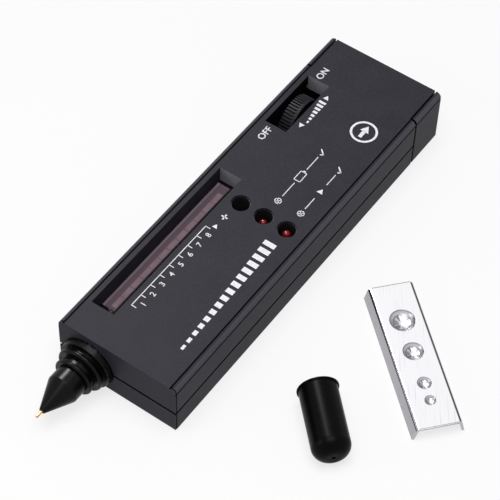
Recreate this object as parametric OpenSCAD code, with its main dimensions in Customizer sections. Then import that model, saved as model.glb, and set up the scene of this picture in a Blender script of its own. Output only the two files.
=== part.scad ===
// Handheld gemstone tester: a flat casing in two shells with a bar display, a thumbwheel and a
// heated probe, and beside it the probe's cap and a small metal rest for loose stones.
// X runs across the casing, Y from the probe to the battery door, Z up from the underside.

/* [Casing] */
// Width of the casing over its long sides
body_w = 45; // [40.5:0.1:52]
// Length of the casing from its front face to its rear face
body_l = 150; // [135:0.5:170]
// Height of the casing from the underside to the top plate
body_h = 21.4; // [19.2:0.1:26]
// Height of the joint between the lower and the upper shell
split_z = 9.1; // [8.2:0.05:10]
// Thickness of the side and end walls
wall = 1.8; // [1.5:0.05:2]
// Thickness of the top plate and of the floor
plate_t = 1.8; // [1.5:0.05:2]
// Radius of the rounded shoulders along the top
shoulder_r = 2.1; // [1.8:0.05:2.6]
// Radius of the fine crease along each edge of the shoulders
crease_r = 0.25; // [0.1:0.05:0.3]
// Height of the groove that shows between the shells
groove_h = 0.95; // [0.2:0.05:1.2]
// Width and depth of the fine groove behind the front face
end_groove = 0.35; // [0.2:0.05:0.5]
// Height of the lip that lines up the shells
lip_h = 1.2; // [0.8:0.1:2]

/* [Battery door] */
// Length of the door along the casing's sides
door_l = 15.2; // [13:0.1:18]
// Gap of the seam between the door and the shells
seam_gap = 0.8; // [0.2:0.05:1]
// Clearance of the door along the top plate and the tongue
door_gap = 0.5; // [0.2:0.05:0.6]
// Number of grip grooves under the door
grip_count = 6; // [3:1:8]
// Width of a grip groove
grip_w = 0.8; // [0.5:0.1:1]
// Depth of a grip groove
grip_d = 0.5; // [0.3:0.1:0.8]

/* [Display] */
// Distance from the casing's left side to the display window
window_side = 4.05; // [3.6:0.05:4.6]
// Distance from the front face to the display window
window_y = 11.6; // [10.5:0.1:14]
// Width of the display window
window_w = 8.55; // [7:0.05:9]
// Length of the display window
window_l = 67.5; // [60:0.5:74]
// Depth of the display window below the top plate
window_depth = 6.3; // [5:0.1:7]
// Thickness of the lens under the window
lens_t = 1; // [0.6:0.1:1.4]
// Number of light bars in the display
bar_count = 12; // [8:1:12]
// Distance from the window's front end to the row of light bars
bar_inset = 6.5; // [2:0.05:8]
// Distance from the row of light bars to the window's rear end
bar_rear_inset = 3.9; // [2:0.05:8]
// Width of a light bar
bar_w = 1.8; // [1:0.1:2.2]

/* [Lamps] */
// Diameter of the three round holes beside the display
hole_d = 6.6; // [5:0.1:6.8]
// Distance from one hole to the next
hole_pitch = 9; // [8.4:0.1:9.8]
// Distance from the casing's left side to the middle of the first hole, the sounder's
hole_side = 18.2; // [16.5:0.05:19.5]
// Distance from the front face to the row of holes
hole_y = 70.9; // [64:0.1:78]
// Length of the dark sleeve in each hole
sleeve_l = 7; // [4:0.1:8]
// Wall of the dark sleeve
sleeve_wall = 0.25; // [0.2:0.05:0.5]
// Diameter of the lamps
led_d = 3; // [2.6:0.1:3.2]
// Depth of the battery lamp's dome below the top plate
battery_lamp_drop = 2.3; // [0.5:0.05:3]
// Depth of the ready lamp's dome below the top plate
ready_lamp_drop = 1.3; // [0.5:0.05:3]

/* [Thumbwheel] */
// Width of the ribbed rim
wheel_w = 4.1; // [3.6:0.1:4.6]
// Distance from the casing's left side to the middle of the ribbed rim
wheel_side = 8.05; // [7.5:0.05:8.6]
// Distance from the front end of the wheel's slot to the wheel's axis
wheel_inset = 13.4; // [12:0.1:14.4]
// Depth of the wheel's crest below the top plate
wheel_drop = 0.4; // [0.1:0.05:0.8]
// Gap between the wheel and the casing's floor
wheel_floor_gap = 0.8; // [0.5:0.1:1.5]
// Number of ribs round the rim
rib_count = 48; // [36:1:60]
// Height of a rib
rib_h = 0.6; // [0.3:0.05:0.8]
// Radius of the wheel's spindle
spindle_r = 2; // [1.6:0.1:2.4]
// Width of the wheel's slot
slot_w = 8.45; // [7.4:0.05:9]
// Length of the wheel's slot
slot_l = 25.45; // [23:0.05:27.6]
// Distance from the front face to the wheel's slot
slot_y = 104.6; // [94:0.1:114]
// Depth of the walls round the wheel's slot
slot_depth = 4.3; // [3:0.1:4.6]
// Depth of the wall at the slot's rear end
slot_end_depth = 6.4; // [5:0.1:7]

/* [Probe] */
// Distance from the casing's left side to the middle of the probe
probe_side = 11.55; // [10.5:0.05:13]
// Height of the flat under the collar's flange above the table
flange_lift = 0.2; // [0.1:0.05:0.6]
// How far the round of the flange reaches past the height of its middle
flange_over = 0.5; // [0.2:0.05:1]
// How far the larger bead stays above the flat
bead_drop = 0.5; // [0.3:0.05:0.8]
// How far the smaller bead stays above the flat
small_bead_drop = 1.9; // [1.7:0.05:2.2]
// Depth of the waist between the beads
waist_depth = 0.75; // [0.5:0.05:1]
// Radius of the nose behind its cone
nose_r = 5.45; // [5:0.05:6]
// Length of the nose behind its cone
nose_l = 4.9; // [4:0.1:6]
// Length of the cone
cone_l = 9.9; // [9:0.1:12]
// Radius of the cone's tip
tip_r = 1; // [0.9:0.05:1.3]
// Radius of the copper pin
pin_r = 0.45; // [0.35:0.05:0.55]
// Length of the copper pin outside the cone
pin_l = 2.6; // [2.2:0.1:3.2]
// Length of the spring behind the probe tube
spring_l = 6; // [5.4:0.1:6.6]
// Number of turns in the spring
spring_turns = 5; // [4:1:5]
// Diameter of the spring's wire
spring_wire = 0.4; // [0.3:0.05:0.45]

/* [Battery] */
// Width of the wheel's bay beside the nine volt battery, which takes the rest of the casing's width
wheel_bay_w = 13.7; // [13:0.1:15]
// Length of the battery's case
battery_l = 46; // [42:0.1:50]
// Play of the battery at each side
battery_play = 0.4; // [0.2:0.05:0.8]
// Height of the battery above the floor
battery_lift = 0.3; // [0.2:0.05:0.6]
// Gap between the battery and the top plate
battery_top_gap = 0.5; // [0.3:0.05:1]
// Length of the battery's terminals
terminal_l = 2.5; // [2:0.1:2.6]
// Distance between the two terminals
terminal_pitch = 12.7; // [12:0.1:13.4]
// Thickness of the battery snap
snap_t = 4; // [3:0.1:4.4]

/* [Board] */
// Thickness of the circuit board
board_t = 1.6; // [1:0.1:1.8]
// Height of the board above the floor
board_stand = 1.6; // [1.2:0.1:2]
// Radius of the casing screws' bosses
boss_r = 2.2; // [2:0.05:2.4]
// Radius of the board's posts
post_r = 1.9; // [1.7:0.05:2]
// Radius of the casing screws' shanks
case_screw_r = 1; // [0.8:0.05:1.1]
// Radius of the board screws' shanks
board_screw_r = 0.9; // [0.7:0.05:1]

/* [Cap] */
// Length of the probe's cap
cap_l = 25.2; // [24:0.1:30]
// Wall of the cap
cap_wall = 0.8; // [0.6:0.05:1.2]
// How far the cap's lip stands out from its side
cap_lip = 0.45; // [0.3:0.05:0.8]
// Radius of the cap's rounded closed end
cap_round = 4.4; // [3.5:0.1:5]
// Middle of the cap's mouth, sideways from the casing's middle
cap_x = 51; // [46:0.5:60]
// Distance from the front face back to the middle of the cap's mouth
cap_y = 35; // [30:0.5:45]
// Direction in which the cap's closed end points
cap_angle = -44.6; // [-60:0.2:-30]

/* [Stone rest] */
// Length of the stone rest
rest_l = 55.5; // [54:0.5:62]
// Width of the stone rest's top
rest_w = 14.6; // [13:0.1:17]
// Height of the stone rest
rest_h = 5; // [4.2:0.1:6]
// Thickness of the stone rest's sheet
rest_t = 0.8; // [0.6:0.05:1]
// How far each side of the stone rest leans out
rest_splay = 1.2; // [0:0.1:2]
// Middle of the stone rest, sideways from the casing's middle
rest_x = 67.5; // [64:0.5:75]
// Distance from the front face back to the stone rest's middle
rest_y = 64.9; // [60:0.1:70]
// Direction of the stone rest's front end
rest_angle = -41.2; // [-60:0.2:-30]
// Diameter of the largest cup
cup_d = 8.4; // [6:0.1:9]
// Depth of the largest cup
cup_depth = 1.9; // [1:0.1:2.4]

/* [Hidden] */
$fn = 64;
// Clearances: turning and sliding fits, glued or pressed fits, and pieces that only pass by
run_gap = 0.05;
set_gap = 0.03;
pass_gap = 0.4;
slide_gap = 0.15;
screw_gap = 0.15;
// Overlap that lets two shapes of one piece grow together, and the reach of a cut beyond a face
merge = 0.5;
past = 1;

// Casing faces
half_w = body_w/2;
inner_x = half_w - wall;
front_y = -body_l/2;
rear_y = body_l/2;
inner_front_y = front_y + wall;
inner_rear_y = rear_y - wall;
ceiling_z = body_h - plate_t;
upper_z = split_z + groove_h/2;
lower_z = split_z - groove_h/2;
lip_z = upper_z + lip_h;
lip_t = wall/2;
door_y = rear_y - door_l;
seam_y = door_y - seam_gap;
top_edge_x = half_w - shoulder_r - door_gap;
well_t = 1.2;
grip_l = 20;
grip_y0 = rear_y - door_l/2 - (2*grip_count - 1)*grip_w/2;

// Display
window_x = -half_w + window_side + window_w/2;
window_y0 = front_y + window_y;
window_y1 = window_y0 + window_l;
window_z = body_h - window_depth;
lens_lap = 0.9;
module_lap = 0.6;
module_end = 0.5;
module_x1 = window_x + window_w/2 + module_lap;
lens_z = window_z - lens_t;
bar_h = 1;
bar_gap = 0.25;
bar_shift = -0.975;
bar_x = window_x + bar_shift;
bar_y0 = window_y0 + bar_inset;
bar_pitch = (window_l - bar_inset - bar_rear_inset)/bar_count;

// Holes and lamps
hole_r = hole_d/2;
hole_x = -half_w + hole_side;
holes_y = front_y + hole_y;
sleeve_t = 0.9;
sleeve_drop = 0.5;
sounder_gap = 0.55;
sounder_r = hole_x - module_x1 - sounder_gap;
sounder_h = 5.5;
sounder_port_r = 1;
sounder_floor = 1;
led_r = led_d/2;
led_l = 5.3;
led_flange_r = led_r + 0.4;
led_flange_h = 1;
led_leg_r = 0.25;
led_leg_x = 0.9;
spacer_r = led_flange_r + 0.4;

// Board
board_under_z = plate_t + board_stand;
board_z = board_under_z + board_t;
board_edge = 0.5;

// Thumbwheel, which fills the height between the floor and the top plate
wheel_r = (body_h - wheel_drop - plate_t - wheel_floor_gap)/2;
wheel_x = -half_w + wheel_side;
wheel_x0 = wheel_x - wheel_w/2;
wheel_x1 = wheel_x + wheel_w/2;
wheel_zc = body_h - wheel_drop - wheel_r;
rim_w = 0.6;
rim_drop = 0.2;
slot_y0 = front_y + slot_y;
slot_z = body_h - slot_depth;
wheel_yc = slot_y0 + wheel_inset;
wheel_pass = 0.6;
wheel_screw_r = 0.9;
wheel_screw_l = 4;
wheel_head_r = spindle_r + 0.6;
wheel_head_h = 1;

// Battery space, and the volume control between it and the wheel
divider_t = 0.9;
divider_x0 = -inner_x + wheel_bay_w;
divider_x1 = divider_x0 + divider_t;
battery_x0 = divider_x1 + battery_play;
battery_x1 = inner_x - battery_play;
battery_x = (battery_x0 + battery_x1)/2;
battery_rear_y = inner_rear_y - door_gap;
battery_y0 = battery_rear_y - battery_l;
battery_z0 = plate_t + battery_lift;
battery_z1 = ceiling_z - battery_top_gap;
battery_zc = (battery_z0 + battery_z1)/2;
stud_r = 2.9;
socket_r = 4.2;
contact_t = 0.4;
snap_gap = 0.2;
snap_h = 12.6;
snap_y1 = battery_y0 - terminal_l - snap_gap;
snap_y0 = snap_y1 - snap_t;
divider_y1 = snap_y0 - pass_gap;
divider_y0 = divider_y1 - divider_t;
divider_rise = 4;
divider_z = split_z + divider_rise;
tongue_inset = 1;
tongue_gap = 0.6;
tongue_x0 = battery_x0 + tongue_inset;
tongue_x1 = battery_x1 - tongue_inset;
tongue_y0 = divider_y1 + tongue_gap;
rail_w = 0.9;
rail_h = plate_t/3;
pot_gap = 0.6;
pot_x0 = wheel_x1 + rim_w + pass_gap;
pot_x1 = divider_x0 - pot_gap;
pot_r = min(wheel_zc - board_z, slot_z - wheel_zc) - pass_gap;
pot_foot = pot_r - pot_gap;

// Screws, bosses and posts
thread_l = 3.5;
case_pilot_r = case_screw_r + run_gap;
case_head_r = case_screw_r + 0.9;
case_head_h = 1.1;
case_sink = 0.5;
case_screw_z1 = split_z + thread_l;
board_pilot_r = board_screw_r + run_gap;
board_head_r = board_screw_r + 0.8;
board_head_h = 1;
board_thread_l = 4.4;
board_screw_z1 = board_z + board_thread_l;
pilot_room = 0.5;
boss_side = 1;
left_boss_side = 2;
right_boss_x = inner_x - boss_r - boss_side;
left_boss_x = -inner_x + boss_r + left_boss_side;
front_boss_gap = 0.6;
front_boss_y = inner_front_y + boss_r + front_boss_gap;
mid_boss_y = divider_y0 - pass_gap - boss_r;
left_boss_y = (window_y1 + slot_y0)/2;
case_screw_xy = [
    [right_boss_x, front_boss_y],
    [right_boss_x, mid_boss_y],
    [left_boss_x, left_boss_y]
];
arm_x1 = (pot_x1 + divider_x0)/2;
arm_end = 1;
arm_y1 = wheel_yc + wheel_r + arm_end;
board_y0 = front_boss_y + boss_r + pass_gap;
board_y1 = mid_boss_y - boss_r - pass_gap;
post_inset = 3.6;
front_post_y = board_y0 + post_r + post_inset;
lamp_post_y = holes_y - hole_r - sleeve_t - pass_gap - post_r;
slot_post_y = slot_y0 - well_t - pass_gap - post_r;
board_screw_xy = [
    [right_boss_x - boss_side, front_post_y],
    [hole_x, front_post_y + boss_side],
    [right_boss_x - boss_side, lamp_post_y],
    [arm_x1 - post_r - boss_side, slot_post_y]
];

// Parts on the board: chips in line with the sounder, the rest in a row beside them
parts_gap = 1;
pin_pitch = 2.54;
chip_pins = 14;
amplifier_pins = 8;
chip_w = 6.4;
chip_h = 3.3;
chip_stand = 0.6;
chip_leg = [0.8, 0.5];
chip_leg_x = chip_w/2 + 0.3;
chip_half = chip_leg_x + chip_leg.x/2;
chip_l = chip_pins/2*pin_pitch;
amplifier_l = amplifier_pins/2*pin_pitch;
chip_shift = 1;
chip_x = hole_x + chip_shift;
chip_y = holes_y - sounder_r - parts_gap - chip_l/2;
chip_step = chip_l + 1.6;
parts_x = (chip_x + chip_half + inner_x)/2;
amplifier_y = front_post_y + post_r + parts_gap + amplifier_l/2;
resistor_count = 4;
resistor_r = 1.1;
resistor_half = 3.1;
resistor_step = 2*resistor_r + 0.6;
resistor_lift = resistor_r + 0.2;
resistor_wire_r = 0.3;
resistor_wire_half = 4.6;
resistor_y = amplifier_y + amplifier_l/2 + parts_gap + resistor_r;
trimmer_w = 6.6;
trimmer_h = 4.6;
trimmer_knob_r = 1.8;
trimmer_knob_h = 0.6;
trimmer_slot = 0.6;
trimmer_y = resistor_y + (resistor_count - 1)*resistor_step + resistor_r + parts_gap + trimmer_w/2;
can_count = 3;
can_r = 2.2;
can_h = 7;
can_step = 2*can_r + 0.8;
can_y = trimmer_y + trimmer_w/2 + parts_gap + can_r;
header_shift = 8;
header_x = hole_x + header_shift;
header_inset = 3;
header_y = board_y0 + header_inset;
header_w = 6;
header_l = 4;
header_h = 5;

// Probe, measured outwards from the front face
probe_x = -half_w + probe_side;
flat_drop = split_z - flange_lift;
flange_r = split_z + flange_over;
flange_bevel = 0.5;
bead_r = flat_drop - bead_drop;
small_bead_r = flat_drop - small_bead_drop;
waist_r = small_bead_r - waist_depth;
collar_l = 8.3;
collar_flange_l = 2.3;
collar_inner_r = split_z - plate_t - 0.3;
collar_neck_r = collar_inner_r - 0.8;
collar_inner_l = 1.5;
// Distance from the middle of a bead to the step down to the waist, against the bead's thickness
waist_step = 0.4;
bead_t = 1.7;
bead_root = 0.8;
bead_z = 4.2;
bead_face_z = bead_z + waist_step*bead_t;
small_bead_t = 1.3;
small_bead_root = 0.5;
small_bead_z = 7.55;
small_bead_face_z = small_bead_z - waist_step*small_bead_t;
tail_r = 4.6;
tail_end = -wall - collar_inner_l;
cone_z = collar_l + nose_l;
tip_z = cone_z + cone_l;
guide_l = 4.6;
tube_r = 2;
tube_l = 7.3;
tube_front = tip_z - guide_l - run_gap;
tube_rear = tube_front - tube_l;
pin_bevel = 0.15;
heater_r = 1.2;
heater_l = 3.5;
heater_room = 0.5;
pin_rear = tube_rear + heater_l + heater_room;
plug_r = 3;
plug_l = 6;
plug_front = tube_rear - spring_l;

// Return spring: its turns follow the probe's axis and its ends run straight on
spring_r = tube_r - spring_wire/2 - 0.2;
spring_sides = 6;
turn_steps = 8;
spring_steps = turn_steps*spring_turns;
spring_z0 = plug_front + spring_wire/2 + set_gap;
spring_rise = spring_l - spring_wire - 2*set_gap;
function spring_point(k) =
    let (a = 360*k/turn_steps)
    [spring_r*cos(a), spring_r*sin(a), spring_z0 + spring_rise*k/spring_steps];
spring_start = spring_point(0) - [0, spring_wire, 0];
spring_end = spring_point(spring_steps) + [0, spring_wire, 0];
spring_path = concat([spring_start], [for (k = [0 : spring_steps]) spring_point(k)], [spring_end]);
spring_least_gap = min([
    for (k = [0 : spring_steps - turn_steps])
        norm(spring_point(k + turn_steps) - spring_point(k)) - spring_wire
]);
echo(spring_least_gap = spring_least_gap);

// Leads: from the battery snap down to the board, and from the probe's plug to its header
lead_sides = 8;
battery_lead_r = 0.6;
battery_lead_x = 0.9;
red_x = hole_x + 1.5*hole_pitch - battery_lead_x;
black_x = hole_x + 1.5*hole_pitch + battery_lead_x;
lead_passages = [red_x, black_x];
function snap_lead_path(x) = curve([
    [x, snap_y0, battery_zc],
    [x, divider_y0 - 1, battery_zc],
    [x, board_y1 + 0.5, battery_zc - 1],
    [x, board_y1 - 1.6, board_z + 2.5],
    [x, board_y1 - 2, board_z]
], 4);
lead_r = 0.4;
lead_x = 1;
plug_rear_y = front_y - plug_front + plug_l;
function probe_lead_path(side) = concat(
    [[probe_x + side*lead_x, plug_rear_y - plug_l + 1, split_z]],
    curve([
        [probe_x + side*lead_x, plug_rear_y + 0.4, split_z],
        [probe_x + side*lead_x, plug_rear_y + 1.4, split_z],
        [probe_x + side*lead_x + 3, header_y - side*lead_x - 4, split_z + 1.6],
        [header_x - 3.5, header_y - side*lead_x - 1, board_z + header_h + 1.8],
        [header_x - 0.4, header_y - side*lead_x, board_z + header_h + 1.4],
        [header_x, header_y - side*lead_x, board_z + header_h]
    ], 5)
);

// Cap and stone rest on the table
cap_bore_r = nose_r + run_gap;
cap_r = cap_bore_r + cap_wall;
cap_lip_r = cap_r + cap_lip;
cap_lip_l = 0.6;
cap_dimple_r = 0.6;
cap_dimple_d = 0.4;
cap_tilt = atan(cap_lip/(cap_l - cap_round - cap_lip_l));
cap_z = cap_lip_r*cos(cap_tilt) + cap_lip_l*sin(cap_tilt);
// Each cup's place along the rest, and its diameter and depth against the largest cup
rest_cups = [
    [-13.2, 1, 1],
    [-0.95, 0.8, 0.88],
    [11.35, 0.54, 0.62],
    [17.95, 0.43, 0.52]
];

// Box from its lowest to its highest corner
module box(low, high) {
    translate(low)
        cube(high - low);
}

// Upright round bar between two heights
module post(x, y, z0, z1, r) {
    translate([x, y, z0])
        cylinder(r = r, h = z1 - z0);
}

// Round bar across the casing
module cross_bar(x0, x1, y, z, r) {
    translate([x0, y, z])
        rotate([0, 90, 0])
            cylinder(r = r, h = x1 - x0);
}

// Round bar along the casing
module long_bar(x, y0, y1, z, r) {
    translate([x, y1, z])
        rotate([90, 0, 0])
            cylinder(r = r, h = y1 - y0);
}

// Casing outline with rounded, creased shoulders, drawn from a height up to the top
module casing_outline(z0) {
    difference() {
        union() {
            translate([-half_w, z0])
                square([body_w, body_h - shoulder_r - z0]);
            translate([-half_w + shoulder_r, z0])
                square([body_w - 2*shoulder_r, body_h - z0]);
            for (side = [-1, 1])
                translate([side*(half_w - shoulder_r), body_h - shoulder_r])
                    circle(r = shoulder_r);
        }
        for (side = [-1, 1]) {
            translate([side*(half_w - shoulder_r), body_h])
                circle(r = crease_r);
            translate([side*half_w, body_h - shoulder_r])
                circle(r = crease_r);
        }
    }
}

// Casing outline carried along the casing
module casing_block(z0, y0, y1) {
    translate([0, y1, 0])
        rotate([90, 0, 0])
            linear_extrude(y1 - y0)
                casing_outline(z0);
}

// Fine groove behind the front face, up both sides and over the shoulders
module end_groove_cut() {
    translate([0, front_y + 2*end_groove, 0])
        rotate([90, 0, 0])
            linear_extrude(end_groove)
                difference() {
                    for (side = [-1, 1])
                        translate([side*(half_w - (shoulder_r - past)/2), body_h/2])
                            square([shoulder_r + past, body_h + 2*past], center = true);
                    for (side = [-1, 1])
                        translate([side*(half_w - shoulder_r), body_h - shoulder_r])
                            circle(r = shoulder_r - end_groove);
                    translate([-half_w + end_groove, -2*past])
                        square([body_w - 2*end_groove, body_h - shoulder_r + 2*past]);
                }
}

// Turned probe part: its profile stands out from the front face along the probe's axis
module on_probe() {
    translate([probe_x, front_y, split_z])
        rotate([90, 0, 0])
            children();
}

// Points and faces of a round tube along a path
function unit(v) = v/norm(v);
function heading(path, i) = unit(path[min(i + 1, len(path) - 1)] - path[max(i - 1, 0)]);
function ring(path, i, r, sides, side_way) =
    let (ahead = heading(path, i), a = unit(cross(ahead, side_way)), b = cross(ahead, a))
    [for (k = [0 : sides - 1]) path[i] + r*(cos(360*k/sides)*a + sin(360*k/sides)*b)];

module tube(path, r, sides, side_way) {
    last = (len(path) - 1)*sides;
    points = [for (i = [0 : len(path) - 1]) each ring(path, i, r, sides, side_way)];
    start_cap = [for (k = [1 : sides - 2]) [0, k, k + 1]];
    end_cap = [for (k = [1 : sides - 2]) [last, last + k + 1, last + k]];
    skin = [
        for (i = [0 : len(path) - 2], k = [0 : sides - 1])
            let (a = i*sides + k, b = i*sides + (k + 1)%sides)
            each [[a, a + sides, b + sides], [a, b + sides, b]]
    ];
    polyhedron(points = points, faces = concat(start_cap, skin, end_cap), convexity = 6);
}

// Smooth curve through a few points
function curve_point(a, b, c, d, t) =
    0.5*(2*b + (c - a)*t + (2*a - 5*b + 4*c - d)*t*t + (3*b - a - 3*c + d)*t*t*t);
function curve(p, steps) = [
    for (i = [0 : len(p) - 2], s = [0 : steps - (i == len(p) - 2 ? 0 : 1)])
        curve_point(p[max(i - 1, 0)], p[i], p[i + 1], p[min(i + 2, len(p) - 1)], s/steps)
];

// Solids left by the display window, the wheel's slot and the round holes
module window_frame(grow, z0, z1) {
    box([window_x - window_w/2 - grow, window_y0 - grow, z0],
        [window_x + window_w/2 + grow, window_y1 + grow, z1]);
}

module slot_frame(grow, z0, z1) {
    box([window_x - slot_w/2 - grow, slot_y0 - grow, z0],
        [window_x + slot_w/2 + grow, slot_y0 + slot_l + grow, z1]);
}

module holes(grow, z0, z1) {
    for (i = [0 : 2])
        post(hole_x + i*hole_pitch, holes_y, z0, z1, hole_r + grow);
}

module upper_shell() {
    color("#3f3e44")
        difference() {
            union() {
                difference() {
                    casing_block(upper_z, front_y, seam_y);
                    box([-inner_x, inner_front_y, 0], [inner_x, rear_y, ceiling_z]);
                    box([-inner_x - lip_t, inner_front_y - lip_t, 0], [inner_x + lip_t, rear_y, lip_z]);
                }
                box([-top_edge_x, seam_y - merge, ceiling_z], [top_edge_x, rear_y, body_h]);
                window_frame(well_t, window_z, ceiling_z);
                slot_frame(well_t, slot_z, ceiling_z);
                box([window_x - slot_w/2 - well_t, slot_y0 + slot_l, body_h - slot_end_depth],
                    [window_x + slot_w/2 + well_t, slot_y0 + slot_l + well_t, ceiling_z]);
                holes(sleeve_t, body_h - sleeve_l, ceiling_z);
                for (p = case_screw_xy)
                    post(p.x, p.y, split_z, ceiling_z, boss_r);
                for (p = board_screw_xy)
                    post(p.x, p.y, board_z, ceiling_z, post_r);
            }
            window_frame(0, window_z - past, body_h + past);
            slot_frame(0, slot_z - past, body_h + past);
            holes(0, body_h - sleeve_l - past, body_h + past);
            for (p = case_screw_xy)
                post(p.x, p.y, split_z - past, case_screw_z1 + pilot_room, case_pilot_r);
            for (p = board_screw_xy)
                post(p.x, p.y, board_z - past, board_screw_z1 + pilot_room, board_pilot_r);
            end_groove_cut();
            probe_passage();
        }
}

// Round way for the probe collar through the front wall
module probe_passage() {
    on_probe()
        translate([0, 0, -wall - past])
            cylinder(r = collar_neck_r + set_gap, h = wall + 2*past);
}

module lower_shell() {
    color("#3f3e44")
        difference() {
            union() {
                difference() {
                    box([-half_w, front_y, 0], [half_w, seam_y, lower_z]);
                    box([-inner_x, inner_front_y, plate_t], [inner_x, rear_y, body_h]);
                }
                shell_lip();
                for (p = case_screw_xy)
                    post(p.x, p.y, 0, split_z, boss_r);
                box([divider_x0, divider_y0, plate_t - merge], [inner_x + merge, divider_y1, lower_z]);
                box([divider_x0, divider_y0, plate_t - merge], [divider_x1, seam_y, divider_z]);
                box([divider_x0, divider_y0, plate_t - merge], [battery_x1, divider_y1, divider_z]);
            }
            for (p = case_screw_xy) {
                post(p.x, p.y, -past, split_z + past, case_screw_r + screw_gap);
                post(p.x, p.y, -past, case_sink + case_head_h, case_head_r + screw_gap);
            }
            box([tongue_x0 - slide_gap, tongue_y0 - door_gap, -past],
                [tongue_x1 + slide_gap, rear_y, plate_t + past]);
            box([tongue_x0 - rail_w - slide_gap, tongue_y0 - door_gap, rail_h - slide_gap],
                [tongue_x1 + rail_w + slide_gap, rear_y, 2*rail_h + slide_gap]);
            for (x = lead_passages)
                long_bar(x, divider_y0 - past, divider_y1 + past, battery_zc, battery_lead_r + pass_gap);
            end_groove_cut();
            probe_passage();
        }
}

// Lip on the lower shell that enters the upper one
module shell_lip() {
    difference() {
        box([-inner_x - lip_t + slide_gap, inner_front_y - lip_t + slide_gap, plate_t],
            [inner_x + lip_t - slide_gap, seam_y, lip_z]);
        box([-inner_x, inner_front_y, 0], [inner_x, rear_y, body_h]);
    }
}

module battery_door() {
    color("#3b3a3f")
        difference() {
            union() {
                difference() {
                    casing_block(0, door_y, rear_y);
                    box([-inner_x, door_y - past, plate_t], [inner_x, inner_rear_y, ceiling_z]);
                    box([-half_w + shoulder_r, door_y - past, ceiling_z - door_gap],
                        [half_w - shoulder_r, rear_y + past, body_h + past]);
                }
                box([tongue_x0, tongue_y0, 0], [tongue_x1, door_y + merge, plate_t]);
                box([tongue_x0 - rail_w, tongue_y0, rail_h],
                    [tongue_x1 + rail_w, door_y + merge, 2*rail_h]);
            }
            for (i = [0 : grip_count - 1])
                box([-grip_l/2, grip_y0 + 2*i*grip_w, -past],
                    [grip_l/2, grip_y0 + (2*i + 1)*grip_w, grip_d]);
        }
}

module display_window() {
    color("#7d666e", 0.6)
        window_frame(lens_lap, lens_z, window_z);
}

module display_module() {
    color("#4c4650")
        difference() {
            box([window_x - window_w/2 - module_lap, window_y0 + module_end, board_z],
                [module_x1, window_y1 - module_end, lens_z]);
            display_bar_row(set_gap);
        }
}

// Row of light bars, or the pockets that they sit in
module display_bar_row(grow) {
    for (i = [0 : bar_count - 1])
        let (y0 = bar_y0 + i*bar_pitch)
        box([bar_x - bar_w/2 - grow, y0 - grow, lens_z - bar_h - (grow > 0 ? 0 : -set_gap)],
            [bar_x + bar_w/2 + grow, y0 + bar_pitch - bar_gap + grow, lens_z + (grow > 0 ? past : 0)]);
}

module display_bars() {
    color("#a08088")
        display_bar_row(0);
}

// Domed lamp with its flange and its two legs, hung from its dome's top
module lamp(x, top_z) {
    base_z = top_z - led_l;
    translate([x, holes_y, base_z]) {
        cylinder(r = led_flange_r, h = led_flange_h);
        cylinder(r = led_r, h = led_l - led_r);
        translate([0, 0, led_l - led_r])
            rotate_extrude()
                intersection() {
                    circle(r = led_r);
                    square([led_r, led_r]);
                }
        for (side = [-1, 1])
            translate([side*led_leg_x, 0, board_under_z - base_z])
                cylinder(r = led_leg_r, h = base_z - board_under_z + merge);
    }
}

module battery_lamp() {
    color("#8e1216")
        lamp(hole_x + hole_pitch, body_h - battery_lamp_drop);
}

module ready_lamp() {
    color("#8e1216")
        lamp(hole_x + 2*hole_pitch, body_h - ready_lamp_drop);
}

module lamp_sleeves() {
    color("#0f0f11")
        difference() {
            holes(-set_gap, body_h - sleeve_l, body_h - sleeve_drop);
            holes(-sleeve_wall, body_h - sleeve_l - past, body_h);
        }
}

module lamp_spacers() {
    drops = [battery_lamp_drop, ready_lamp_drop];
    color("#141416")
        for (i = [0 : 1])
            let (x = hole_x + (i + 1)*hole_pitch)
            difference() {
                post(x, holes_y, board_z, body_h - drops[i] - led_l, spacer_r);
                for (side = [-1, 1])
                    post(x + side*led_leg_x, holes_y, board_z - past, body_h, led_leg_r + run_gap);
            }
}

module sounder() {
    color("#18181a")
        difference() {
            post(hole_x, holes_y, board_z, board_z + sounder_h, sounder_r);
            post(hole_x, holes_y, board_z + sounder_floor, board_z + sounder_h + past, sounder_port_r);
        }
}

module circuit_board() {
    color("#2f6b3c")
        difference() {
            union() {
                box([-inner_x + board_edge, board_y0, board_under_z],
                    [inner_x - board_edge, board_y1, board_z]);
                box([-inner_x + board_edge, board_y0, board_under_z], [arm_x1, arm_y1, board_z]);
            }
            box([wheel_x0 - wheel_head_h - wheel_pass, wheel_yc - wheel_r - wheel_pass, 0],
                [pot_x0 - run_gap, wheel_yc + wheel_r + wheel_pass, board_z + past]);
            post(left_boss_x, left_boss_y, board_under_z - past, board_z + past, boss_r + pass_gap);
            for (p = board_screw_xy)
                post(p.x, p.y, board_under_z - past, board_z + past, board_screw_r + screw_gap);
            for (i = [1, 2], side = [-1, 1])
                post(hole_x + i*hole_pitch + side*led_leg_x, holes_y, board_under_z - past, board_z + past,
                     led_leg_r + run_gap);
        }
}

// Chip in a case with two rows of legs
module chip(x, y, pins) {
    rows = pins/2;
    half_l = rows*pin_pitch/2;
    translate([x, y, board_z]) {
        box([-chip_w/2, -half_l, chip_stand], [chip_w/2, half_l, chip_stand + chip_h]);
        for (side = [-1, 1], i = [0 : rows - 1])
            translate([side*chip_leg_x, (i + 0.5)*pin_pitch - half_l, 0])
                box([-chip_leg.x/2, -chip_leg.y/2, 0], [chip_leg.x/2, chip_leg.y/2, chip_stand + chip_h/2]);
    }
}

module driver_chips() {
    color("#1d1d1f")
        for (i = [0, 1])
            chip(chip_x, chip_y - i*chip_step, chip_pins);
}

module amplifier_chip() {
    color("#1d1d1f")
        chip(parts_x, amplifier_y, amplifier_pins);
}

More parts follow.
